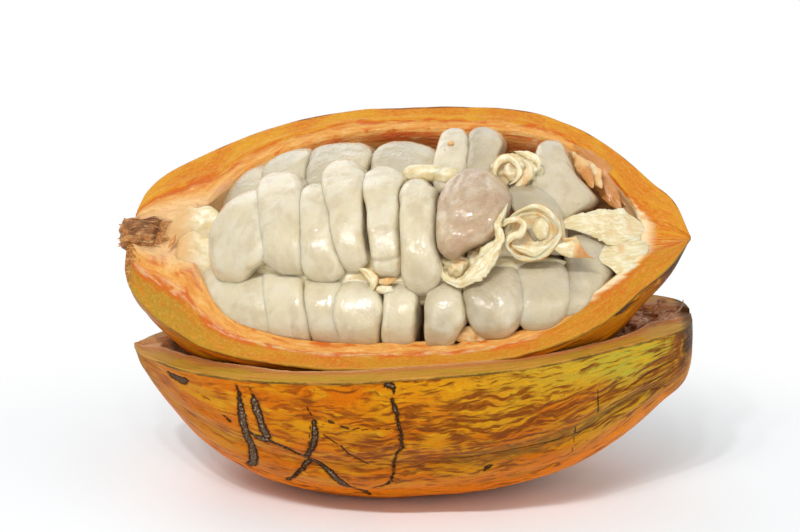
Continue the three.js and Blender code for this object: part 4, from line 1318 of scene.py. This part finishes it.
def ribbon(points, across, thick, seed, count=110, columns=36, fray=0.3, wave=0.5,
           ridges=0.25, facing=(0, -OUT, UP)):
    """A soft band carried along a smooth path with its flat side towards facing. Its half
    width and half thickness run through the given values; lengthwise ridges, torn edges
    and slow waves are noise over the place along the band and round it. Returns the grid,
    the millimetres along and across it, and how near each point is to its edges."""
    path = spline([from_rows(*np.array(p, float)) for p in points], count)
    t = crowded(count)
    full = cap(t, 3)
    place = np.linspace(0, 1, len(across))
    a, b = np.interp(t, place, across) * full, np.interp(t, place, thick) * full
    length = np.linalg.norm(np.diff(path, axis=0), axis=1).sum()
    along = (t * length)[:, None]
    turn = around(columns)
    wide, high = np.cos(turn), np.sin(turn)
    edge = 1 + fray * grain(stack(along, 3 * np.sign(wide), 0), (2, 1, 1), seed, 3)
    crest = 1 + ridges * grain(stack(along, wide * a.max(), high), (5, 0.55, 1.2),
                               seed + 1, 2)
    unit = carried(path, np.array(facing, float), np.ones(count), np.ones(count), columns)
    middle = path[:, None]
    offset = unit - middle
    side = offset[:, :1] / np.linalg.norm(offset[:, :1], axis=-1, keepdims=True)
    flat = (offset * side).sum(-1, keepdims=True) * side
    grid = middle + flat * (a[:, None] * edge)[..., None] \
        + (offset - flat) * (b[:, None] * crest)[..., None]
    drift = stack(*(grain(grid, 5, seed + k, 2) for k in (3, 5, 7)))
    return grid + wave * drift * full[:, None, None], along + 0 * turn, wide * a[:, None], \
        np.abs(wide) + 0 * along


def lump(centre, half, seed, crease=0.35, size=0.9, rows=56, columns=64):
    """A soft lump: an ellipsoid in the rows' frame whose radius follows folded noise,
    1 - |noise|, in two sizes. Returns what ribbon returns."""
    ball = ball_of(rows, columns)
    big = 1 - np.abs(grain(ball, size, seed, 2)) * 2
    small = 1 - np.abs(grain(ball, size * 0.4, seed + 1, 2)) * 2
    radial = 1 + crease * (0.75 * big + 0.25 * small - 0.5)
    grid = ball * radial[..., None] * np.array(half) + np.array(centre)
    grid = from_rows(*np.moveaxis(grid, -1, 0))
    return grid, grid[..., 0], 0.45 * grid[..., 1], big


def cup(centre, reach, dish, seed, rows=60, columns=96):
    """A curled membrane like a shallow bowl that faces out of the rows: over share r of
    its radius and angle q its front is dish (r^2 - 1) plus folds sin(3q + 7r + noise),
    and its back lies 0.8 to 2 mm behind."""
    lean = np.linspace(0.03, math.pi - 0.03, rows)[:, None]
    q = around(columns)
    r = np.sin(lean) * (1 + 0.1 * np.sin(2 * q + 0.6) + 0.06 * np.sin(3 * q + 1)
                        + 0.05 * np.sin(5 * q))
    twist = grain(stack(r * np.cos(q), r * np.sin(q), 0), (0.6, 0.6, 1), seed, 2)
    front = dish * (r * r - 1) + 0.55 * np.sin(3 * q + 7 * r + 3 * twist) * r * (1.2 - r)
    front = front + 0.25 * np.sin(34 * r + 4 * twist) * smooth(0.55, 0.8, r)
    side = np.cos(lean)
    n = front + np.where(side > 0, 0.5 * side, (0.8 + 1.4 * (1 - r * r)) * side)
    grid = from_rows(centre[0] + reach[0] * r * np.cos(q), centre[1] + reach[1] * r * np.sin(q),
                     centre[2] + n)
    return grid, 6 * r * q, 12 * r + 0 * q, r + 0 * q


def thin_edges(low, high, top=1.0):
    """Browning that grows towards a band's edges."""
    return lambda shell: top * smooth(low, high, shell[3])


def cloudy(base, reach, size=3.0, seed=5):
    """Browning in cloudy patches."""
    return lambda shell: base + reach * grain(shell[0], size, seed, 2)


class POD_OT_placenta(bpy.types.Operator):
    """Build the placenta, its torn strands and the membranes on the beans"""
    bl_idname = "pod.placenta"
    bl_label = "Placenta"

    def execute(self, context):
        finish = membrane_finish("pod_placenta", context.scene.pod_pulp)

        def add(node, *parts):
            """One piece from shells, each paired with how far it is browned."""
            shells = [shell for shell, _ in parts]
            fields = {"rust": [rust(shell) for shell, rust in parts],
                      "along": [shell[1] for shell in shells],
                      "across": [shell[2] for shell in shells]}
            finish_piece("soft_" + node, [shell[0] for shell in shells], FULL_POSE, finish,
                         node, "placenta", fields)

        pale, plain, brown = cloudy(0.0, 0.3), cloudy(0.15, 0.3), cloudy(0.75, 0.5, 2.0)
        add("placenta_core",
            (ribbon([(-46, -10, 10), (-34, -11, 16.5), (-18, -12.4, 19.4), (0, -13.4, 20),
                     (18, -13, 19.6), (34, -10, 16.6), (50, -8, 10)],
                    [5, 7, 7.4, 7.4, 7.4, 7, 5], [2.6, 3, 3, 3, 3, 3, 2.4], 11, 160, 44,
                    fray=0.1, wave=0.9), plain),
            (ribbon([(-44, 12, -8), (-20, 17, -9), (0, 18, -9), (24, 18, -9), (44, 14, -10)],
                    [4, 5, 5, 5, 4], [2, 2.4, 2.4, 2.4, 2], 13, fray=0.1, wave=0.9), plain),
            (lump((25.4, -28.4, 22.8), (5.0, 2.2, 1.6), 15, 0.3), brown),
            (lump((32, -3, 14), (6, 6, 5), 17, 0.25), plain))
        add("pulp_stem_end",
            (lump((-59, -3.2, 0.4), (10, 9.4, 2.2), 21, 0.16, 0.7),
             lambda shell: 0.26 + 0.5 * smooth(-56, -68, shell[0][..., 0])),
            (lump((-58.2, -9.8, 5.4), (7, 8.4, 2.3), 23, 0.16, 0.7),
             lambda shell: 0.26 + 0.5 * smooth(-54, -66, shell[0][..., 0])),
            (ribbon([(-61.4, 7.8, -3.8), (-60.4, 6.2, -2.2), (-58.6, 5.1, -1), (-56, 5, -0.6)],
                    [0.35, 0.3, 0.4, 0.7], [0.3, 0.3, 0.3, 0.3], 25, 40, 14, wave=0.1), brown),
            (ribbon([(-65, -2, 4.4), (-65.7, -4.3, 5.6), (-66.8, -6.4, 6.6)], [0.4, 0.8, 0.4],
                    [0.4, 0.5, 0.3], 26, 40, 14, wave=0.2), cloudy(1.3, 0.2)))
        add("pulp_tip_end",
            (ribbon([(57, -4.8, 4.2), (62, -4.8, 3.8), (67, -4.0, 2.8), (72, -2.6, 1.0)],
                    [5.0, 8.0, 7.8, 5.6], [0.8, 1.0, 0.8, 0.5], 31, 110, 60, fray=0.14,
                    wave=0.5, ridges=0.2, facing=(0, 0, 1)), cloudy(0.26, 0.4)))
        add("placenta_strand",
            (ribbon([(34.6, 8, 20.4), (33.6, 5, 23.4), (32.9, 1.9, 25), (33.4, -1, 25.2),
                     (32.2, -4.6, 25.4), (29.8, -8.4, 25.8), (26.6, -12, 26.4),
                     (23.4, -13.9, 26.4), (20, -13.6, 26), (17.6, -11.6, 25.2),
                     (17, -8.6, 24.2)],
                    [0.9, 1.3, 1.5, 1.4, 1.7, 2.1, 2.4, 2.3, 1.8, 1.5, 1.1],
                    [0.8, 0.9, 0.9, 0.9, 1.0, 1.1, 1.2, 1.2, 1.0, 0.9, 0.7], 41, 200, 44,
                    fray=0.4, wave=0.45, ridges=0.5), thin_edges(0.9, 1.05, 0.3)),
            (ribbon([(32.4, -2.4, 24.6), (29.4, -5.6, 25), (26.4, -8, 24.6)], [1.2, 1.6, 0.7],
                    [0.5, 0.6, 0.3], 43, 60, 24, fray=0.5), plain),
            (lump((21, -9.8, 20.6), (5.2, 3.6, 3.2), 45, 0.4, 0.6), cloudy(0.4, 0.5, 2)),
            (lump((27, -8.6, 20.2), (3.6, 4.4, 3.2), 47, 0.35, 0.6), cloudy(0.3, 0.5, 2)))
        rim = [(41.2 + (7 + 0.7 * math.sin(3 * k + 1)) * math.cos(k),
                0.1 + (7 + 0.7 * math.sin(2 * k)) * math.sin(k), 20.4 + 0.9 * math.sin(2 * k))
               for k in np.radians(np.arange(160, -150, -18.0))]
        add("placenta_curl",
            (cup((41, 0, 20.6), (6.9, 7.0), 3.6, 50), cloudy(0.34, 0.6, 2.6)),
            (ribbon(rim, [0.8, 0.9, 0.9, 0.8, 1.3, 1.6, 1.4], [0.7, 0.7, 0.7, 0.7, 0.9, 1.0, 0.8],
                    51, 220, 30, fray=0.25, wave=0.25, ridges=0.4), thin_edges(0.55, 1.0, 0.95)),
            (ribbon([(34.4, 6.4, 21.4), (33.4, 2.4, 22.6), (35.2, 3.2, 22.4), (37.4, 3.6, 21.6),
                     (39.2, 2.4, 21.2), (38.4, 0, 21.2), (35.9, -1.2, 22), (34.8, -3.6, 22.4),
                     (36.6, -6, 21.6)],
                    [0.8, 1.1, 0.9, 0.8, 0.8, 1.0, 1.2, 1.1, 0.7], [0.6] * 9, 53, 180, 26,
                    wave=0.3, ridges=0.4), thin_edges(0.6, 1.05, 0.55)),
            (ribbon([(36, -3.6, 21.6), (39, -4.6, 21.8), (43, -4.8, 21.4), (46.6, -3.4, 20.6)],
                    [0.8, 1.3, 1.5, 0.8], [0.6, 0.9, 0.9, 0.5], 54, 110, 34, fray=0.2,
                    wave=0.2, ridges=0.6), pale),
            (lump((44, 1.4, 18.6), (2.6, 3.4, 1.6), 55, 0.08), cloudy(0.05, 0.1)))
        add("placenta_band",
            (ribbon([(46.4, 2.4, 9.2), (51, 3.2, 6.8), (57, 3.2, 4.0), (62.5, 2.4, 1.4),
                     (67, 1.8, -0.8), (71, 1.2, -2.6)],
                    [2.0, 3.0, 4.0, 5.0, 6.0, 6.4], [0.9, 1.1, 1.2, 1.1, 0.8, 0.5], 61, 180,
                    70, fray=0.16, wave=0.7, ridges=0.3, facing=(0, -0.35, 0.94)),
             cloudy(0.26, 0.4)),
            (ribbon([(48.6, 24.6, -15), (51, 21.4, -12), (53.2, 17.8, -9), (55.6, 13.6, -6)],
                    [1.2, 2.0, 1.8, 1.4], [0.8, 1.1, 1.0, 0.7], 65, 90, 26, fray=0.5),
             cloudy(0.9, 0.5, 2)),
            (ribbon([(53, 22, -14), (55.6, 18.4, -11), (58, 13.6, -8)], [1.0, 1.8, 1.2],
                    [0.7, 1.0, 0.6], 67, 80, 24, fray=0.5), cloudy(0.6, 0.6, 2)),
            (ribbon([(48, 27, -21.6), (54, 21.6, -18), (59, 14.6, -14.2), (63.6, 7, -9.8)],
                    [2.0, 3.4, 3.6, 2.4], [1.0, 1.2, 1.2, 0.8], 69, 110, 40, fray=0.3,
                    ridges=0.3, wave=0.8), cloudy(1.25, 0.35, 2.4)),
            (ribbon([(55, 24, -20.8), (60.4, 16.4, -16.4), (65, 8.4, -11.4)],
                    [1.6, 2.6, 1.8], [1.0, 1.2, 0.8], 70, 90, 36, fray=0.3, ridges=0.3,
                    wave=0.8), cloudy(1.2, 0.35, 2.4)))
        add("placenta_flap",
            (ribbon([(46.8, -3.4, 19.4), (50.2, -4.2, 19.2), (53.2, -4.6, 18.4),
                     (56.2, -5.8, 16.6), (58.6, -6.8, 15)],
                    [1.6, 2.2, 2.0, 1.2, 0.3], [0.8, 0.8, 0.7, 0.5, 0.2], 71, 110, 30,
                    fray=0.5, wave=0.4), lambda shell: smooth(3, 8, shell[1])),
            (ribbon([(49, -1.4, 18.6), (52.6, -2.2, 18), (55.4, -4.4, 16.8)], [1.0, 1.1, 0.4],
                    [0.5, 0.5, 0.2], 73, 60, 20, fray=0.5), cloudy(0.5, 0.5, 2)))
        add("membrane_torn",
            (lump((34.6, 17.6, 0.6), (7, 5.0, 4), 81, 0.35, 0.55), cloudy(0.2, 0.4, 2)),
            (lump((14.6, 25.8, -3.2), (1.0, 0.8, 0.7), 77, 0.2, 0.9, 20, 24), cloudy(0.95, 0.3)),
            (lump((13.2, 23, -1.6), (0.7, 0.9, 0.6), 78, 0.2, 0.9, 20, 24), cloudy(1.0, 0.2)),
            (ribbon([(29.6, 14.8, 5.6), (28.9, 17.8, 5.8), (30, 20.4, 5.2), (32.2, 21.3, 4.8),
                     (34.4, 20.4, 5), (35.8, 18, 5.6), (35.2, 15.4, 6), (33, 13.6, 6.4)],
                    [0.8, 1.0, 1.1, 1.2, 1.0, 1.0, 1.1, 0.7], [0.5] * 8, 83, 150, 26, fray=0.4,
                    wave=0.3), thin_edges(0.5, 1.0, 0.8)),
            (ribbon([(33.6, 23.4, 1.4), (37.2, 22.8, 2.2), (40.4, 20.8, 2.8), (41, 17.8, 3.4)],
                    [0.7, 1.2, 1.3, 0.7], [0.5] * 4, 85, 90, 24, fray=0.5), plain),
            (ribbon([(36, 21.4, 4), (38.6, 18.6, 4.8), (37, 15, 5.2), (33.6, 12, 6)],
                    [0.8, 1.4, 1.4, 0.8], [0.6] * 4, 87, 100, 24, fray=0.4), cloudy(0.3, 0.6, 2)))
        add("membrane_bit",
            (lump((9.4, 16.6, 2.0), (8.4, 3.0, 3.6), 91, 0.16, 1.2), cloudy(0.12, 0.25)),
            (lump((15, 15.6, 3.4), (4.4, 3.2, 3.2), 93, 0.16, 1.2), cloudy(0.12, 0.25)))
        add("placenta_crumbs",
            (ribbon([(-6, -10.8, 25), (-3.4, -11.8, 25.8), (-1.4, -13.8, 25.8), (-2, -16.2, 25.2),
                     (-4.4, -16.6, 24.6)],
                    [1.0, 1.5, 1.6, 1.3, 0.8], [0.7, 0.9, 0.9, 0.8, 0.5], 95, 110, 28, fray=0.2),
             thin_edges(0.6, 1.0, 0.9)),
            (lump((1.6, -16.4, 24.8), (2.6, 1.3, 1.2), 97, 0.2, 0.9, 30, 36), pale),
            (ribbon([(-0.8, -14, 25), (2, -14.3, 25.4), (5, -13.4, 25)], [0.8, 1.2, 0.7],
                    [0.6, 0.8, 0.5], 99, 60, 22, fray=0.3), brown))
        return {"FINISHED"}


# ---------------------------------------------------------------- stem and torn pith

STEM_AXIS = (-1.8, -1.4)          # v and w of the stub's middle
STEM_START, STEM_LENGTH = -82.4, 10.4
STEM_HALF = np.array([5.1, 4.6])  # half width and half height of the stub
HAIR_UP = np.array([0.13, 0.3, 1.0])


def bark_piece(name, shells, painted_shade_and_tone, turns, pose, finish, node, slot):
    """Joins strands into one piece, with the fields that bark_finish paints by."""
    fields = {"hollow": painted_shade_and_tone, "along": [shell[..., 0] for shell in shells],
              "turn": turns}
    finish_piece(name, shells, pose, finish, node, slot, fields)


def hair(start, drift, wide, seed, bend=0.35, count=16, columns=8):
    """A torn fibre from start, drifting to one side as it goes."""
    sway = stack(*(grain(np.array([seed * 1.7, k * 9.1, 0.4]), 1, seed + k)
                   for k in range(3)))
    middle = start + drift * 0.5 + bend * np.linalg.norm(drift) * 0.3 * sway
    path = spline([start, middle, start + drift], count)
    half = wide * cap(crowded(count), 2.5)
    return carried(path, HAIR_UP, half, 0.7 * half, columns)


class POD_OT_stem(bpy.types.Operator):
    """Build the frayed stub of the fruit stalk"""
    bl_idname = "pod.stem"
    bl_label = "Stem"

    def execute(self, context):
        finish = bark_finish("pod_stalk", "84502A", "DA9452", "F4D69C")
        t = crowded(90)[:, None]
        turn = around(140)
        p = stack(10 * t, 5 * np.cos(turn), 5 * np.sin(turn))
        strands = grain(p, (9, 1.3, 1.3), 7, 3)
        knots = grain(p, 3.4, 9, 2)
        waist = 1.02 - 0.16 * hill(t, 0.42, 0.25)
        r = waist * (1 + 0.2 * strands + 0.12 * knots) * cap(t, 7)
        jut = (0.8 * grain(p, (20, 0.9, 0.9), 15, 2) + 0.6 * (1 - r)) * smooth(0.3, 0.0, t)
        v, w = STEM_AXIS
        across, high = STEM_HALF
        grid = stack(STEM_START + STEM_LENGTH * t - jut, v + across * r * np.cos(turn),
                     w + high * r * np.sin(turn))
        # Painted shade in the low places between strands; the stub is also darkened towards its
        # top and bottom.
        dark = smooth(0.2, 0.95, np.abs(np.sin(turn + 0.3))) * smooth(0.05, 0.3, t)
        shells, painted_shade_and_tone = [grid], [0.7 * np.maximum(smooth(0.1, -0.6, strands), dark)]
        rng = np.random.default_rng(12)
        for k in range(70):
            angle, depth = rng.uniform(0, 2 * math.pi), rng.uniform(0.3, 1.0)
            if k % 2:            # a fibre that lies along the stub's side
                first, spread, ahead, depth = -81.3, 7, (2, 6), 1
            else:                # a fibre that sticks out of its torn end
                first, spread, ahead = -82.1, 0.6, (-1.4, -0.5)
            start = np.array([first + rng.uniform(0, spread),
                              v + (across - 0.2) * math.cos(angle) * depth,
                              w + (high - 0.2) * math.sin(angle) * depth])
            drift = np.array([rng.uniform(*ahead), rng.normal(0, 0.6), rng.normal(0, 0.6)])
            shells.append(hair(start, drift, rng.uniform(0.12, 0.34), k))
            painted_shade_and_tone.append(np.full(shells[-1].shape[:2], rng.uniform(0, 0.5)))
        turns = [np.degrees(np.arctan2(shell[..., 2] - w, shell[..., 1] - v))
                 for shell in shells]
        bark_piece("stalk_stub", shells, painted_shade_and_tone, turns, FULL_POSE, finish, "stem", "stalk")
        return {"FINISHED"}


class POD_OT_torn_pith(bpy.types.Operator):
    """Build the torn fibres left at the emptied half's stem end"""
    bl_idname = "pod.torn_pith"
    bl_label = "Torn Pith"

    def execute(self, context):
        finish = bark_finish("pod_torn_pith", "AE7850", "ECBE92", "FFF4E2")
        ball = ball_of(60, 72)
        crests = 1 - np.abs(grain(ball, 0.5, 15, 3)) * 2
        middle, half = np.array([65.5, 1, -5.6]), np.array([8, 11.5, 4.6])
        base = middle + ball * (1 + 0.4 * (crests - 0.5))[..., None] * half
        # Painted shade where the lump dips between its crests.
        shells, painted_shade_and_tone = [base], [0.6 * smooth(0.9, 0.1, crests)]
        rng = np.random.default_rng(5)
        for k in range(150):
            x = rng.uniform(56, 77)
            reach = 17 * math.sqrt(max(0.05, 1 - ((x - 62) / 18) ** 2))
            start = np.array([x, rng.uniform(-reach, reach), rng.uniform(-4.5, -0.8)])
            drift = np.array([rng.uniform(1, 5), rng.normal(0, 1.6), rng.uniform(0.2, 2.6)])
            wide = rng.choice([0.16, 0.25, 0.6, 1.1], p=[0.4, 0.3, 0.2, 0.1])
            shells.append(hair(start, drift, wide, 300 + k, 0.8))
            painted_shade_and_tone.append(np.full(shells[-1].shape[:2], rng.uniform(0, 0.5)))
        tail = spline([(76, 3, -1.6), (78.6, 4, -0.6), (80, 5, 0.8), (80.4, 5.8, 2.4)], 40)
        full = cap(crowded(len(tail)), 2.5)
        shells.append(carried(tail, np.array([0.1, 1.0, 0.2]), 0.4 * full, 0.3 * full, 12))
        painted_shade_and_tone.append(np.full(shells[-1].shape[:2], 0.4))
        bark_piece("torn_fibres", shells, painted_shade_and_tone, [10 * shell[..., 1] for shell in shells],
                   EMPTY_POSE, finish, "torn_pith", "torn_pith")
        return {"FINISHED"}


# ---------------------------------------------------------------- stage

SKY_TINT = (0.95, 0.98, 1.0, 1.0)
LAMP_PARTS = (0.08, 0.2, 0.44, 0.2, 0.08)      # shares of the main light along its row


class POD_OT_stage(bpy.types.Operator):
    """Set up the pale floor, the soft lights and the camera"""
    bl_idname = "pod.stage"
    bl_label = "Stage"

    def execute(self, context):
        scene, s = context.scene, context.scene.pod_stage
        low, high = CAD_BOX
        columns = 96
        ring = around(columns)
        reach = np.concatenate([np.linspace(0.02, 0.6, 14), [1.0, 2.0, 4.0, 6.0]])[:, None]
        grid = stack(reach * np.cos(ring), reach * np.sin(ring), low.z).reshape(-1, 3)
        i, j = np.meshgrid(np.arange(len(reach) - 1), np.arange(columns), indexing="ij")
        a, b = i * columns + j, i * columns + (j + 1) % columns
        faces = np.stack([a, a + columns, b + columns, b], -1).reshape(-1, 4).tolist()
        faces.append(list(range(columns)))
        mesh = bpy.data.meshes.new("floor")
        mesh.from_pydata(grid.tolist(), [], faces)
        floor = bpy.data.objects.new("floor", mesh)
        scene.collection.objects.link(floor)
        # Away from the pod the floor is plain white to the camera; near it, it is lit.
        f = Finish("pale_floor", (*s.floor, 1.0), 0.7)
        away = f.node("VectorMath", f.node("TexCoord", output=3), (0.6, 1.0, 1.0),
                      operation="MULTIPLY")
        away = f.node("VectorMath", away, operation="LENGTH", output=1)
        f.tone(0.985 + f.noise(f.place(), 60, 2) * 0.03)
        f.set(Base_Color=f.colour, Specular_IOR_Level=0.2)
        lit, white = Value(f, f.surface.outputs[0]), f.node("Emission", (1, 1, 1, 1))
        f.put(f.output.inputs["Surface"],
              f.node("MixShader", f.seen() * away.step(0.03, 0.13), lit, white))
        mesh.materials.append(f.material)

        world = bpy.data.worlds.new("pale_surroundings")
        world.use_nodes = True
        scene.world = world
        n = Nodes(world.node_tree)
        even = n.node("Background", SKY_TINT, s.sky)
        white = n.node("Background", (1, 1, 1, 1))
        n.node("OutputWorld", n.node("MixShader", n.seen(), even, white))

        def lamp(name, power, wide, high, place, aim):
            """A rectangular soft light that faces its aim."""
            data = bpy.data.lights.new(name, "AREA")
            data.energy, data.shape = power, "RECTANGLE"
            data.size, data.size_y = wide, high
            lamp_object = bpy.data.objects.new(name, data)
            scene.collection.objects.link(lamp_object)
            lamp_object.location = place
            look = Vector(aim) - Vector(place)
            lamp_object.rotation_euler = look.to_track_quat("-Z", "Y").to_euler()

        middle = (low + high) / 2
        for k, part in enumerate(LAMP_PARTS):
            lamp(f"main_light_{k + 1}", s.key * part, 0.045, 0.045,
                 (-0.44 + 0.12 * k, -0.55, 0.70), middle)
        lamp("fill_light", s.fill, 0.6, 0.5, (0.6, -0.35, 0.45), middle)
        lamp("back_light", s.fill, 0.6, 0.5, (-0.3, 0.6, 0.6), middle)

        target = Vector((-0.0006, -0.0001, middle.z + 0.0130))
        camera = bpy.data.objects.new("camera", bpy.data.cameras.new("camera"))
        scene.collection.objects.link(camera)
        back = Vector((0, -math.cos(s.elevation), math.sin(s.elevation)))
        camera.location = target + back * s.distance
        camera.rotation_euler = (-back).to_track_quat("-Z", "Y").to_euler()
        camera.data.lens = s.lens
        camera.data.sensor_width = 36
        camera.data.clip_start, camera.data.clip_end = 0.01, 20
        scene.camera = camera
        scene.view_settings.view_transform = "Standard"
        return {"FINISHED"}


class POD_PT_panel(bpy.types.Panel):
    """Buttons for each piece of the pod and for its stage"""
    bl_idname = "POD_PT_panel"
    bl_label = "Open Cacao Pod"
    bl_space_type = "VIEW_3D"
    bl_region_type = "UI"
    bl_category = "Cacao Pod"

    def draw(self, context):
        layout = self.layout
        for operator in OPERATORS:
            layout.operator(operator.bl_idname)
        for group in GROUPS:
            settings = getattr(context.scene, group)
            box = layout.box()
            for key in settings.__annotations__:
                box.prop(settings, key)


OPERATORS = (POD_OT_stage, POD_OT_empty_husk, POD_OT_full_husk, POD_OT_beans,
             POD_OT_placenta, POD_OT_stem, POD_OT_torn_pith)
GROUPS = {"pod_skin": PodSkinSettings, "pod_flesh": PodFleshSettings,
          "pod_pulp": PodPulpSettings, "pod_stage": PodStageSettings}


def register():
    for group in (*GROUPS.values(), *OPERATORS, POD_PT_panel):
        bpy.utils.register_class(group)
    for name, group in GROUPS.items():
        setattr(bpy.types.Scene, name, bpy.props.PointerProperty(type=group))


def unregister():
    for name in GROUPS:
        delattr(bpy.types.Scene, name)
    for group in (POD_PT_panel, *reversed(OPERATORS), *reversed(GROUPS.values())):
        bpy.utils.unregister_class(group)


def main():
    register()
    for operator in OPERATORS:
        group, action = operator.bl_idname.split(".")
        getattr(getattr(bpy.ops, group), action)()


if __name__ == "__main__":
    main()
